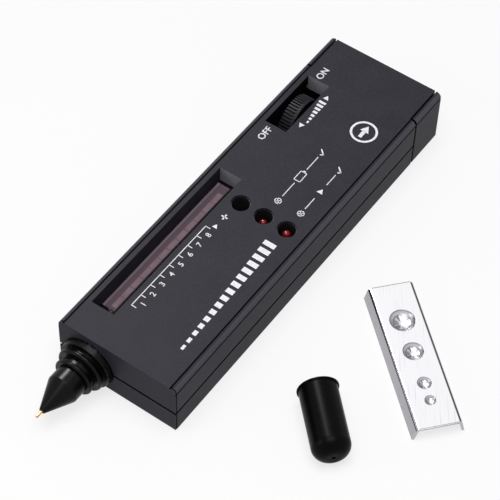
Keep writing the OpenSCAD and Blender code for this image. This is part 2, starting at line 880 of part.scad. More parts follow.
module trimmers() {
    half = trimmer_w/2;
    top_z = trimmer_h + trimmer_knob_h;
    color("#2c58a0")
        for (side = [-1, 1])
            translate([parts_x + side*(half + parts_gap/2), trimmer_y, board_z])
                difference() {
                    union() {
                        box([-half, -half, 0], [half, half, trimmer_h]);
                        cylinder(r = trimmer_knob_r, h = top_z);
                    }
                    box([-trimmer_knob_r, -trimmer_slot/2, trimmer_h],
                        [trimmer_knob_r, trimmer_slot/2, top_z + past]);
                }
}

module capacitors() {
    color("#23304f")
        for (i = [0 : can_count - 1])
            post(parts_x + (i - (can_count - 1)/2)*can_step, can_y, board_z, board_z + can_h, can_r);
}

module resistors() {
    color("#c9ae83")
        for (i = [0 : resistor_count - 1])
            translate([parts_x, resistor_y + i*resistor_step, board_z]) {
                cross_bar(-resistor_half, resistor_half, 0, resistor_lift, resistor_r);
                cross_bar(-resistor_wire_half, resistor_wire_half, 0, resistor_lift, resistor_wire_r);
                for (side = [-1, 1])
                    post(side*resistor_wire_half, 0, 0, resistor_lift + resistor_wire_r, resistor_wire_r);
            }
}

module probe_header() {
    color("#d8d4c6")
        box([header_x - header_w/2, header_y - header_l/2, board_z],
            [header_x + header_w/2, header_y + header_l/2, board_z + header_h]);
}

// Outline of the ribbed rim
module wheel_outline() {
    step = 360/rib_count;
    root_r = wheel_r - rib_h;
    rib = [[-0.34, root_r], [-0.22, wheel_r], [0.22, wheel_r], [0.34, root_r]];
    polygon([
        for (i = [0 : rib_count - 1], corner = rib)
            let (a = (i + corner[0])*step)
            corner[1]*[cos(a), sin(a)]
    ]);
}

module thumbwheel() {
    color("#26262a")
        difference() {
            union() {
                translate([wheel_x0, wheel_yc, wheel_zc])
                    rotate([0, 90, 0])
                        linear_extrude(wheel_w)
                            wheel_outline();
                cross_bar(wheel_x1 - merge, wheel_x1 + rim_w, wheel_yc, wheel_zc, wheel_r - rim_drop);
            }
            cross_bar(wheel_x0 - past, wheel_x1 + rim_w + past, wheel_yc, wheel_zc, spindle_r + set_gap);
        }
}

module wheel_spindle() {
    color("#b9babd")
        difference() {
            cross_bar(wheel_x0 + set_gap, pot_x1, wheel_yc, wheel_zc, spindle_r);
            cross_bar(wheel_x0 - past, wheel_x0 + wheel_screw_l + pass_gap, wheel_yc, wheel_zc,
                      wheel_screw_r + set_gap);
        }
}

module wheel_screw() {
    drive_w = 0.5;
    color("#c4c5c8")
        difference() {
            union() {
                cross_bar(wheel_x0 - wheel_head_h, wheel_x0, wheel_yc, wheel_zc, wheel_head_r);
                cross_bar(wheel_x0 - wheel_head_h, wheel_x0 + wheel_screw_l, wheel_yc, wheel_zc,
                          wheel_screw_r);
            }
            box([wheel_x0 - wheel_head_h - past, wheel_yc - wheel_head_r, wheel_zc - drive_w/2],
                [wheel_x0 - wheel_head_h/2, wheel_yc + wheel_head_r, wheel_zc + drive_w/2]);
        }
}

module volume_pot() {
    color("#3a3a3e")
        difference() {
            union() {
                cross_bar(pot_x0, pot_x1, wheel_yc, wheel_zc, pot_r);
                box([pot_x0, wheel_yc - pot_foot, board_z],
                    [pot_x1, wheel_yc + pot_foot, wheel_zc - spindle_r]);
            }
            cross_bar(pot_x0 - past, pot_x1 + past, wheel_yc, wheel_zc, spindle_r + run_gap);
        }
}

module battery() {
    color("#54575c")
        box([battery_x0, battery_y0, battery_z0], [battery_x1, battery_rear_y, battery_z1]);
}

module battery_terminals() {
    front = battery_y0 - terminal_l;
    color("#c9cacc") {
        long_bar(battery_x - terminal_pitch/2, front, battery_y0, battery_zc, stud_r);
        difference() {
            long_bar(battery_x + terminal_pitch/2, front, battery_y0, battery_zc, socket_r);
            long_bar(battery_x + terminal_pitch/2, front - past, battery_y0 - contact_t, battery_zc,
                     stud_r + run_gap);
        }
    }
}

module battery_snap() {
    color("#161617")
        box([battery_x0, snap_y0, battery_zc - snap_h/2], [battery_x1, snap_y1, battery_zc + snap_h/2]);
}

module snap_contacts() {
    reach = snap_y1 + terminal_l - contact_t;
    color("#d3d4d6") {
        difference() {
            long_bar(battery_x - terminal_pitch/2, snap_y1, reach, battery_zc, socket_r);
            long_bar(battery_x - terminal_pitch/2, snap_y1 + slide_gap, reach + past, battery_zc,
                     stud_r + run_gap);
        }
        long_bar(battery_x + terminal_pitch/2, snap_y1, reach, battery_zc, stud_r);
    }
}

module red_lead() {
    color("#b3202a")
        tube(snap_lead_path(red_x), battery_lead_r, lead_sides, [1, 0, 0]);
}

module black_lead() {
    color("#17171a")
        tube(snap_lead_path(black_x), battery_lead_r, lead_sides, [1, 0, 0]);
}

module probe_collar() {
    color("#151517")
        on_probe()
            difference() {
                rotate_extrude() {
                    polygon([
                        [tail_r + set_gap, tail_end],
                        [collar_inner_r, tail_end],
                        [collar_inner_r, -wall],
                        [collar_neck_r, -wall],
                        [collar_neck_r, 0],
                        [flange_r, 0],
                        [flange_r - flange_bevel, collar_flange_l],
                        [bead_r - bead_root, collar_flange_l],
                        [bead_r - bead_root, bead_face_z],
                        [waist_r, bead_face_z],
                        [waist_r, small_bead_face_z],
                        [small_bead_r - small_bead_root, small_bead_face_z],
                        [small_bead_r - small_bead_root, collar_l],
                        [tail_r + set_gap, collar_l]
                    ]);
                    translate([bead_r - bead_t/2, bead_z])
                        circle(d = bead_t);
                    translate([small_bead_r - small_bead_t/2, small_bead_z])
                        circle(d = small_bead_t);
                }
                box([-flange_r, -flange_r - past, -past], [flange_r, -flat_drop, collar_flange_l + past]);
            }
}

module nose_cone() {
    color("#151517")
        on_probe()
            rotate_extrude()
                polygon([
                    [plug_r, tail_end],
                    [tail_r, tail_end],
                    [tail_r, collar_l],
                    [nose_r, collar_l],
                    [nose_r, cone_z],
                    [tip_r, tip_z],
                    [pin_r + run_gap, tip_z],
                    [pin_r + run_gap, tip_z - guide_l],
                    [tube_r + run_gap, tip_z - guide_l],
                    [tube_r + run_gap, plug_front],
                    [plug_r, plug_front]
                ]);
}

module probe_tube() {
    color("#b08d57")
        on_probe()
            rotate_extrude()
                polygon([
                    [heater_r + set_gap, tube_rear],
                    [tube_r, tube_rear],
                    [tube_r, tube_front],
                    [pin_r + set_gap, tube_front],
                    [pin_r + set_gap, pin_rear],
                    [heater_r + set_gap, pin_rear]
                ]);
}

module probe_pin() {
    color("#c08a5a")
        on_probe()
            rotate_extrude()
                polygon([
                    [0, pin_rear],
                    [pin_r, pin_rear],
                    [pin_r, tip_z + pin_l - pin_bevel],
                    [pin_r - pin_bevel, tip_z + pin_l],
                    [0, tip_z + pin_l]
                ]);
}

module probe_heater() {
    color("#e6e0d4")
        on_probe()
            translate([0, 0, pin_rear - heater_l])
                cylinder(r = heater_r, h = heater_l);
}

module probe_spring() {
    color("#c2c3c6")
        on_probe()
            tube(spring_path, spring_wire/2, spring_sides, [0, 0, 1]);
}

module probe_plug() {
    color("#2a2a2d")
        on_probe()
            difference() {
                translate([0, 0, plug_front - plug_l])
                    cylinder(r = plug_r - set_gap, h = plug_l);
                for (side = [-1, 1])
                    translate([side*lead_x, 0, plug_front - plug_l - past])
                        cylinder(r = lead_r + run_gap, h = plug_l + 2*past);
            }
}

module probe_leads() {
    color("#c8c2b4")
        for (side = [-1, 1])
            tube(probe_lead_path(side), lead_r, lead_sides, [0, 0, 1]);
}

module case_screws() {
    drive_w = 0.5;
    drive_d = 0.6;
    color("#9c9da1")
        for (p = case_screw_xy)
            difference() {
                union() {
                    post(p.x, p.y, case_sink, case_sink + case_head_h, case_head_r);
                    post(p.x, p.y, case_sink, case_screw_z1, case_screw_r);
                }
                for (turn = [0, 90])
                    translate([p.x, p.y, 0])
                        rotate([0, 0, turn])
                            box([-case_screw_r, -drive_w/2, 0],
                                [case_screw_r, drive_w/2, case_sink + drive_d]);
            }
}

module board_screws() {
    color("#9c9da1")
        for (p = board_screw_xy) {
            post(p.x, p.y, board_under_z - board_head_h, board_under_z, board_head_r);
            post(p.x, p.y, board_under_z - board_head_h, board_screw_z1, board_screw_r);
        }
}

module tip_cap() {
    color("#141416")
        translate([cap_x, front_y + cap_y, cap_z])
            rotate([0, 0, cap_angle])
                rotate([0, 90 + cap_tilt, 0])
                    rotate_extrude()
                        difference() {
                            union() {
                                square([cap_lip_r, cap_lip_l]);
                                square([cap_r, cap_l - cap_round]);
                                square([cap_r - cap_round, cap_l]);
                                translate([cap_r - cap_round, cap_l - cap_round])
                                    circle(r = cap_round);
                            }
                            translate([0, cap_l - cap_dimple_d])
                                square([cap_dimple_r, cap_dimple_d + past]);
                            translate([0, -past])
                                square([cap_bore_r, cap_l - cap_round + past]);
                            translate([0, -past])
                                square([cap_bore_r - cap_round, cap_l - cap_wall + past]);
                            intersection() {
                                translate([cap_r - cap_round, cap_l - cap_round])
                                    circle(r = cap_round - cap_wall);
                                square([cap_r, cap_l]);
                            }
                            translate([-cap_r, -past])
                                square([cap_r, cap_l + 2*past]);
                        }
}

// Pressed cup in the stone rest, or the hole that it takes the place of: a steep wall down to a knee,
// then a cone to a small flat
module cup(r, depth, solid) {
    knee_r = 0.75*r;
    knee_d = 0.55*depth;
    flat_r = 0.25*r;
    skin = 0.7*rest_t;
    rotate_extrude()
        if (solid)
            polygon([
                [0, rest_h - depth - rest_t],
                [flat_r + skin, rest_h - depth - rest_t],
                [knee_r + skin, rest_h - knee_d - skin],
                [r + skin, rest_h - rest_t],
                [r + skin, rest_h],
                [r, rest_h],
                [knee_r, rest_h - knee_d],
                [flat_r, rest_h - depth],
                [0, rest_h - depth]
            ]);
        else
            square([r + skin, rest_h + past]);
}

module stone_rest() {
    half = rest_w/2;
    foot = half + rest_splay;
    color("#d9dadd")
        translate([rest_x, front_y + rest_y, 0])
            rotate([0, 0, rest_angle]) {
                difference() {
                    translate([-rest_l/2, 0, 0])
                        rotate([90, 0, 90])
                            linear_extrude(rest_l)
                                polygon([
                                    [-foot, 0],
                                    [-half, rest_h],
                                    [half, rest_h],
                                    [foot, 0],
                                    [foot - rest_t, 0],
                                    [half - rest_t, rest_h - rest_t],
                                    [-half + rest_t, rest_h - rest_t],
                                    [-foot + rest_t, 0]
                                ]);
                    for (c = rest_cups)
                        translate([c[0], 0, 0])
                            cup(c[1]*cup_d/2, c[2]*cup_depth, false);
                }
                for (c = rest_cups)
                    translate([c[0], 0, 0])
                        cup(c[1]*cup_d/2, c[2]*cup_depth, true);
            }
}

upper_shell();
lower_shell();
battery_door();
display_window();
display_module();
display_bars();
battery_lamp();
ready_lamp();
lamp_sleeves();
lamp_spacers();
sounder();
circuit_board();
driver_chips();
amplifier_chip();
trimmers();
capacitors();
resistors();
probe_header();
thumbwheel();
wheel_spindle();
wheel_screw();
volume_pot();
battery();
battery_terminals();
battery_snap();
snap_contacts();
red_lead();
black_lead();
probe_collar();
nose_cone();
probe_tube();
probe_pin();
probe_heater();
probe_spring();
probe_plug();
probe_leads();
case_screws();
board_screws();
tip_cap();
stone_rest();
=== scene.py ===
import math

import bmesh
import bpy
from mathutils import Matrix, Vector


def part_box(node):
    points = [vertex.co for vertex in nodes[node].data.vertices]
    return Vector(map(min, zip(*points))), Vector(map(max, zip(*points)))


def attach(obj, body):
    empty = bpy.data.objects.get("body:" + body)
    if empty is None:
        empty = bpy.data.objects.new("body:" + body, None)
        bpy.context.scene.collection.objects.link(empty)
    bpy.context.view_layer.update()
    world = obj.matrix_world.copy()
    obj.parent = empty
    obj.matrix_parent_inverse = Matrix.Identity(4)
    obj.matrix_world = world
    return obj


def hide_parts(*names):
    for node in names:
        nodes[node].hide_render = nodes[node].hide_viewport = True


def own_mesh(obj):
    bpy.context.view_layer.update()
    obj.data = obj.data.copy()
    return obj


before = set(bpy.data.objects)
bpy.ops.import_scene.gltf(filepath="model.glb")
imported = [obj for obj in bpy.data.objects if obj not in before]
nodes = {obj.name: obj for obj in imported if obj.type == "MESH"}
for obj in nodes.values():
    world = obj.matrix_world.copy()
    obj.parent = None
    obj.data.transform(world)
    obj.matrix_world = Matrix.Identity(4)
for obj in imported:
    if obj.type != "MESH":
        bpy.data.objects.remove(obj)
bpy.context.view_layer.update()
mm = 0.001
closeMm = 0.01  # places closer together than this count as one
casingLow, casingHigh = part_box("upper_shell")
print("frame loaded:", len(nodes), "nodes")

# the photograph's view: angles in degrees, lengths in millimetres
view = {"azimuth": 33.6262, "elevation": 52.1094, "roll": 2.3006, "distance": 651.89,
        "target": (-0.04, -4.04, 0.0), "lens": 142.46, "sensor": 36.0, "clipEnd": 20000}


def placeCamera():
    az, el, roll = (math.radians(view[k]) for k in ("azimuth", "elevation", "roll"))
    back = Vector((math.sin(az) * math.cos(el), -math.cos(az) * math.cos(el), math.sin(el)))
    right = (-back).cross(Vector((0, 0, 1))).normalized()
    up = right.cross(-back)
    turnedRight = math.cos(roll) * right + math.sin(roll) * up
    turnedUp = math.cos(roll) * up - math.sin(roll) * right
    eye = Vector(view["target"]) * mm + back * view["distance"] * mm
    bpy.ops.object.camera_add()
    camera = bpy.context.object
    turn = Matrix((turnedRight, turnedUp, back)).transposed().to_4x4()
    camera.matrix_world = Matrix.Translation(eye) @ turn
    camera.data.lens = view["lens"]
    camera.data.sensor_width = view["sensor"]
    camera.data.clip_end = view["clipEnd"] * mm
    bpy.context.scene.camera = camera


placeCamera()
bpy.context.scene.view_settings.view_transform = "Standard"
print("camera placed")


def linear(hexColour):
    # sRGB hex to linear red, green, blue and alpha
    values = [int(hexColour[i:i + 2], 16) / 255 for i in (1, 3, 5)]
    return [v / 12.92 if v <= 0.04045 else ((v + 0.055) / 1.055) ** 2.4 for v in values] + [1.0]


def perMm(size):
    # texture scale for a pattern whose cells are this many millimetres wide
    return 1 / (size * mm)


def addNode(tree, kind, links=None, stops=None, **settings):
    node = tree.nodes.new(kind)
    for key, value in settings.items():
        setattr(node, key, value)
    for key, value in (links or {}).items():
        if isinstance(value, bpy.types.NodeSocket):
            tree.links.new(value, node.inputs[key])
        else:
            node.inputs[key].default_value = value
    for i, (place, colour) in enumerate(stops or []):
        element = node.color_ramp.elements[i] if i < 2 else node.color_ramp.elements.new(place)
        element.position = place
        element.color = linear(colour)
    return node


def startMaterial(name):
    material = bpy.data.materials.new(name)
    material.use_nodes = True
    tree = material.node_tree
    place = addNode(tree, "ShaderNodeTexCoord").outputs["Object"]
    return material, tree, tree.nodes["Principled BSDF"], place


def setShader(tree, shader, **values):
    # underscores stand for the spaces in the socket names
    for key, value in values.items():
        socket = shader.inputs[key.replace("_", " ")]
        if isinstance(value, bpy.types.NodeSocket):
            tree.links.new(value, socket)
        else:
            socket.default_value = value


# the worn colour is a painted sheen on the slanted faces
casingFinish = {"dark": "#24232b", "light": "#302f37", "worn": "#4c4b53", "mottleMm": 9, "grainMm": 0.45,
                "grainShare": 0.7, "grainDeepMm": 0.02, "grainStrength": 0.5, "dry": 0.56, "sheen": 0.46,
                "specular": 0.07, "ior": 1.54}
# a paler copy of the casing colours, for painted light on the recess ends
recessPaintedLight = dict(casingFinish, dark="#8a8990", light="#98979f")


def charcoalAbs(name, finish):
    # ABS injection moulded against spark-eroded steel: a dry charcoal with a very fine grain, drawn here
    # about twice as coarse as the real 0.2 mm so that it shows; faces that slant between the top and the
    # sides, such as the shoulders, get the paler worn colour as a painted sheen
    material, tree, shader, place = startMaterial(name)
    mottle = addNode(tree, "ShaderNodeTexNoise",
                     {"Vector": place, "Scale": perMm(finish["mottleMm"]), "Detail": 4})
    grain = addNode(tree, "ShaderNodeTexNoise",
                    {"Vector": place, "Scale": perMm(finish["grainMm"]), "Detail": 2})
    tone = addNode(tree, "ShaderNodeMix", {"Factor": finish["grainShare"], "A": mottle.outputs["Fac"],
                                           "B": grain.outputs["Fac"]})
    colour = addNode(tree, "ShaderNodeValToRGB", {"Fac": tone.outputs["Result"]},
                     stops=[(0.36, finish["dark"]), (0.64, finish["light"])])
    face = addNode(tree, "ShaderNodeTexCoord").outputs["Normal"]
    upward = addNode(tree, "ShaderNodeSeparateXYZ", {"Vector": face}).outputs["Z"]
    sheenSlantMask = addNode(tree, "ShaderNodeValToRGB", {"Fac": upward},
                      stops=[(0.15, "#000000"), (0.4, "#ffffff"), (0.85, "#ffffff"), (0.97, "#000000")])
    paintedSheen = addNode(tree, "ShaderNodeMix", {0: sheenSlantMask.outputs["Color"], 6: colour.outputs["Color"],
                                             7: linear(finish["worn"])}, data_type="RGBA")
    rough = addNode(tree, "ShaderNodeMapRange", {"Value": grain.outputs["Fac"], "To Min": finish["sheen"],
                                                 "To Max": finish["dry"]})
    bump = addNode(tree, "ShaderNodeBump",
                   {"Height": grain.outputs["Fac"], "Strength": finish["grainStrength"],
                    "Distance": finish["grainDeepMm"] * mm})
    setShader(tree, shader, Base_Color=paintedSheen.outputs[2], Roughness=rough.outputs["Result"],
              Normal=bump.outputs["Normal"], Specular_IOR_Level=finish["specular"], IOR=finish["ior"])
    return material


# the gap and flank colours are painted shade
wheelFinish = {"gapShade": "#020202", "crest": "#242428", "shadedFlank": "#060607", "ribMm": 0.6, "grainMm": 0.6,
               "dry": 0.5, "sheen": 0.4, "specular": 0.12, "ior": 1.54}


def ribbedAbs():
    # the thumbwheel's ABS with painted shade: near black in the gaps between the ribs and on the flanks,
    # while the crests keep the plain colour
    material, tree, shader, place = startMaterial("wheelAbsPaintedShade")
    low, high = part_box("thumbwheel")
    middle = (low + high) / 2
    crest = (high.z - low.z) / 2
    spoke = addNode(tree, "ShaderNodeVectorMath", {0: place, 1: middle}, operation="SUBTRACT")
    upright = addNode(tree, "ShaderNodeVectorMath", {0: spoke.outputs["Vector"], 1: (0, 1, 1)},
                      operation="MULTIPLY")
    radius = addNode(tree, "ShaderNodeVectorMath", {0: upright.outputs["Vector"]}, operation="LENGTH")
    share = addNode(tree, "ShaderNodeMapRange", {"Value": radius.outputs["Value"],
                                                 "From Min": crest - wheelFinish["ribMm"] * mm,
                                                 "From Max": crest})
    ribs = addNode(tree, "ShaderNodeValToRGB", {"Fac": share.outputs["Result"]},
                   stops=[(0.25, wheelFinish["gapShade"]), (0.9, wheelFinish["crest"])])
    face = addNode(tree, "ShaderNodeTexCoord").outputs["Normal"]
    sideways = addNode(tree, "ShaderNodeSeparateXYZ", {"Vector": face}).outputs["X"]
    shadedFlank = addNode(tree, "ShaderNodeMath", {0: sideways}, operation="ABSOLUTE").outputs["Value"]
    edge = addNode(tree, "ShaderNodeMapRange", {"Value": shadedFlank, "From Min": 0.6, "From Max": 0.9})
    colour = addNode(tree, "ShaderNodeMix", {0: edge.outputs["Result"], 6: ribs.outputs["Color"],
                                             7: linear(wheelFinish["shadedFlank"])}, data_type="RGBA")
    grain = addNode(tree, "ShaderNodeTexNoise",
                    {"Vector": place, "Scale": perMm(wheelFinish["grainMm"]), "Detail": 2})
    rough = addNode(tree, "ShaderNodeMapRange", {"Value": grain.outputs["Fac"],
                                                 "To Min": wheelFinish["sheen"],
                                                 "To Max": wheelFinish["dry"]})
    setShader(tree, shader, Base_Color=colour.outputs[2], Roughness=rough.outputs["Result"],
              Specular_IOR_Level=wheelFinish["specular"], IOR=wheelFinish["ior"])
    return material


# the cap's vinyl, and what differs on the nose's mouldings and on the lamps' sleeves
vinylFinish = {"dark": "#030303", "light": "#060607", "mottleMm": 5, "scuffMm": 1.2, "scuffDeepMm": 0.02,
               "scuffStrength": 0.15, "satin": 0.26, "dull": 0.33, "specular": 0.045, "ior": 1.52}
mouldingFinish = dict(vinylFinish, satin=0.22, dull=0.3, specular=0.1)
sleeveFinish = dict(vinylFinish, dark="#1e1e21", light="#27272b", dull=0.34, specular=0.3)


def satinBlack(name, finish):
    # soft black vinyl and smooth black mouldings: nearly black, with a soft highlight along the length and
    # faint rubbed patches
    material, tree, shader, place = startMaterial(name)
    mottle = addNode(tree, "ShaderNodeTexNoise",
                     {"Vector": place, "Scale": perMm(finish["mottleMm"]), "Detail": 5})
    scuff = addNode(tree, "ShaderNodeTexNoise",
                    {"Vector": place, "Scale": perMm(finish["scuffMm"]), "Detail": 6, "Roughness": 0.7})
    colour = addNode(tree, "ShaderNodeValToRGB", {"Fac": mottle.outputs["Fac"]},
                     stops=[(0.35, finish["dark"]), (0.7, finish["light"])])
    rough = addNode(tree, "ShaderNodeMapRange", {"Value": scuff.outputs["Fac"], "From Min": 0.3,
                                                 "From Max": 0.7, "To Min": finish["satin"],
                                                 "To Max": finish["dull"]})
    bump = addNode(tree, "ShaderNodeBump",
                   {"Height": scuff.outputs["Fac"], "Strength": finish["scuffStrength"],
                    "Distance": finish["scuffDeepMm"] * mm})
    setShader(tree, shader, Base_Color=colour.outputs["Color"], Roughness=rough.outputs["Result"],
              Normal=bump.outputs["Normal"], Specular_IOR_Level=finish["specular"], IOR=finish["ior"])
    return material


lensFinish = {"tint": "#4a3c42", "cloud": "#57474d", "alpha": 0.07, "smearMm": 12, "clear": 0.03,
              "hazed": 0.06, "specular": 0.05, "ior": 1.49}


def smokedAcrylic():
    # extruded acrylic strip with a smoky pink tint: clear enough to read the bars, with a faint wiped haze
    material, tree, shader, place = startMaterial("smokedAcrylicPolished")
    smear = addNode(tree, "ShaderNodeTexNoise",
                    {"Vector": place, "Scale": perMm(lensFinish["smearMm"]), "Detail": 3})
    colour = addNode(tree, "ShaderNodeValToRGB", {"Fac": smear.outputs["Fac"]},
                     stops=[(0.3, lensFinish["tint"]), (0.7, lensFinish["cloud"])])
    rough = addNode(tree, "ShaderNodeMapRange", {"Value": smear.outputs["Fac"], "To Min": lensFinish["clear"],
                                                 "To Max": lensFinish["hazed"]})
    setShader(tree, shader, Base_Color=colour.outputs["Color"], Roughness=rough.outputs["Result"],
              Alpha=lensFinish["alpha"], Specular_IOR_Level=lensFinish["specular"], IOR=lensFinish["ior"])
    return material


# the display's strip: lengthwise stripes (place across the casing in millimetres, colour from there to the
# right), whose black at both sides is painted shade beside the recess walls, and what shows of them along the
# casing (place back from the front face, shade from there on), which paints shade at both ends next to the
# recess walls, with a lighter band just before the rear end; tailMm is the length of the last step of each
displayFinish = {"stripes": [(-19.6, "#080708"), (-18.75, "#b09eac"), (-17.85, "#816f7a"),
                             (-14.25, "#7b6b73"), (-13.95, "#080708")],
                 "along": [(10.0, "#000000"), (16.7, "#dcdcdc"), (77.6, "#ffffff"), (78.2, "#dcdcdc"),
                           (79.0, "#000000")],
                 "tailMm": 1, "grainMm": 1.5, "satin": 0.5, "dull": 0.7, "specular": 0.02}


def displayReflector():
    # styrene reflector round the bars, seen through the smoked lens: lengthwise stripes with clean edges,
    # and painted shade at its sides and ends
    material, tree, shader, place = startMaterial("displayReflectorPaintedShade")
    d = displayFinish
    split = addNode(tree, "ShaderNodeSeparateXYZ", {"Vector": place})
    ramps = []
    for axis, start, steps in (("X", 0.0, d["stripes"]), ("Y", casingLow.y, d["along"])):
        low = steps[0][0]
        high = steps[-1][0] + d["tailMm"]
        share = addNode(tree, "ShaderNodeMapRange", {"Value": split.outputs[axis],
                                                     "From Min": start + low * mm,
                                                     "From Max": start + high * mm})
        ramp = addNode(tree, "ShaderNodeValToRGB", {"Fac": share.outputs["Result"]},
                       stops=[((step - low) / (high - low), shade) for step, shade in steps])
        ramp.color_ramp.interpolation = "CONSTANT"
        ramps.append(ramp.outputs["Color"])
    colour = addNode(tree, "ShaderNodeMix", {0: 1.0, 6: ramps[0], 7: ramps[1]}, data_type="RGBA",
                     blend_type="MULTIPLY")
    grain = addNode(tree, "ShaderNodeTexNoise", {"Vector": place, "Scale": perMm(d["grainMm"]), "Detail": 3})
    rough = addNode(tree, "ShaderNodeMapRange",
                    {"Value": grain.outputs["Fac"], "To Min": d["satin"], "To Max": d["dull"]})
    setShader(tree, shader, Base_Color=colour.outputs[2], Roughness=rough.outputs["Result"],
              Specular_IOR_Level=d["specular"])
    return material


diffuserFinish = {"dark": "#927b84", "light": "#9f8690", "cloudMm": 2.2, "rough": 0.4, "specular": 0.03}


def diffuserResin():
    # pink diffuser bars of the light display, not lit: milky, with soft clouds in the cast resin
    material, tree, shader, place = startMaterial("pinkDiffuserResinCast")
    cloud = addNode(tree, "ShaderNodeTexNoise",
                    {"Vector": place, "Scale": perMm(diffuserFinish["cloudMm"]), "Detail": 2})
    colour = addNode(tree, "ShaderNodeValToRGB", {"Fac": cloud.outputs["Fac"]},
                     stops=[(0.3, diffuserFinish["dark"]), (0.7, diffuserFinish["light"])])
    setShader(tree, shader, Base_Color=colour.outputs["Color"], Roughness=diffuserFinish["rough"],
              Specular_IOR_Level=diffuserFinish["specular"])
    return material


lampFinish = {"foot": "#1c0204", "dome": "#7c0c12", "footMm": 14.5, "domeMm": 20.5, "cloudMm": 1.4,
              "cloudShare": 0.25, "rough": 0.12, "specular": 0.3, "ior": 1.55}


def redEpoxy():
    # red epoxy lamp body: deep red, with painted shade darker towards its foot, down in its sleeve, and the
    # small bright spot of a glossy dome
    material, tree, shader, place = startMaterial("redEpoxyCast")
    height = addNode(tree, "ShaderNodeSeparateXYZ", {"Vector": place}).outputs["Z"]
    share = addNode(tree, "ShaderNodeMapRange", {"Value": height, "From Min": lampFinish["footMm"] * mm,
                                                 "From Max": lampFinish["domeMm"] * mm})
    cloud = addNode(tree, "ShaderNodeTexNoise",
                    {"Vector": place, "Scale": perMm(lampFinish["cloudMm"]), "Detail": 2})
    depth = addNode(tree, "ShaderNodeMath", {0: share.outputs["Result"], 1: cloud.outputs["Fac"],
                                             2: lampFinish["cloudShare"]}, operation="MULTIPLY_ADD")
    colour = addNode(tree, "ShaderNodeValToRGB", {"Fac": depth.outputs["Value"]},
                     stops=[(0.2, lampFinish["foot"]), (0.8, lampFinish["dome"])])
    setShader(tree, shader, Base_Color=colour.outputs["Color"], Roughness=lampFinish["rough"],
              Specular_IOR_Level=lampFinish["specular"], IOR=lampFinish["ior"])
    return material


# the rest's sheet: turn in degrees and scratchTurn in radians, lines and scratches as long, wide and deep in
# millimetres, and the places in a cup (rings, knee, middle, reach) in radii of the cup
# the colours for the sides and the bends are a painted reflection
restFinish = {"turn": -41.2, "brushMm": (30, 0.3, 0.3), "scratchMm": (22, 0.5, 0.5), "scratchTurn": 0.25,
              "lineDeepMm": 0.01, "lineStrength": 0.2, "bright": 0.1, "dull": 0.15, "side": "#a5a3a8",
              "bend": "#4a484e", "paleBendReflection": "#b0aeb4", "top": "#f4f4f7", "endShade": "#b3b1b6",
              "endShadeMm": 0.4, "scratch": "#dedae0", "cupReflectionDark": "#6c6a6f", "cupReflectionLight": "#c0bfc4",
              "cupRough": 0.34, "reflectionStreaks": 2.6, "knee": (0.62, 0.7), "middle": (0.1, 0.3), "reach": 1.15,
              "rings": [(0.7, "#6f6d72"), (0.8, "#b9b8bd"), (0.9, "#b9b8bd"), (0.97, "#7d7b80")]}
restTurn = math.radians(restFinish["turn"])
restAlong = Vector((math.cos(restTurn), math.sin(restTurn), 0))
restAcross = (-math.sin(restTurn), math.cos(restTurn), 0)


def bentSheet(tree):
    # painted reflection: colour by the way a face looks, the top, the bends, of which the left one is paler,
    # and the sides
    face = addNode(tree, "ShaderNodeTexCoord").outputs["Normal"]
    upward = addNode(tree, "ShaderNodeSeparateXYZ", {"Vector": face}).outputs["Z"]
    across = addNode(tree, "ShaderNodeVectorMath", {0: face, 1: restAcross}, operation="DOT_PRODUCT")
    right = addNode(tree, "ShaderNodeMapRange", {"Value": across.outputs["Value"], "From Min": -0.05,
                                                 "From Max": 0.05})
    bends = [addNode(tree, "ShaderNodeValToRGB", {"Fac": upward},
                     stops=[(0.35, restFinish["side"]), (0.5, restFinish[bend]), (0.94, restFinish[bend]),
                            (0.99, restFinish["top"])]).outputs["Color"] for bend in ("paleBendReflection", "bend")]
    sheet = addNode(tree, "ShaderNodeMix", {0: right.outputs["Result"], 6: bends[0], 7: bends[1]},
                    data_type="RGBA")
    return sheet.outputs[2]


def shadedEndStrips(tree, place):
    # 1 on the strip of painted shade at each end, 0 elsewhere
    low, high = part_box("stone_rest")
    middle = ((low + high) / 2).dot(restAlong)
    end = max(corner.co.dot(restAlong) for corner in nodes["stone_rest"].data.vertices)
    reach = addNode(tree, "ShaderNodeVectorMath", {0: place, 1: restAlong}, operation="DOT_PRODUCT")
    fromMiddle = addNode(tree, "ShaderNodeMath", {0: reach.outputs["Value"], 1: middle}, operation="SUBTRACT")
    outward = addNode(tree, "ShaderNodeMath", {0: fromMiddle.outputs["Value"]}, operation="ABSOLUTE")
    atEnd = addNode(tree, "ShaderNodeMath", {0: outward.outputs["Value"],
                                             1: end - middle - restFinish["endShadeMm"] * mm},
                    operation="GREATER_THAN")
    return atEnd.outputs["Value"]


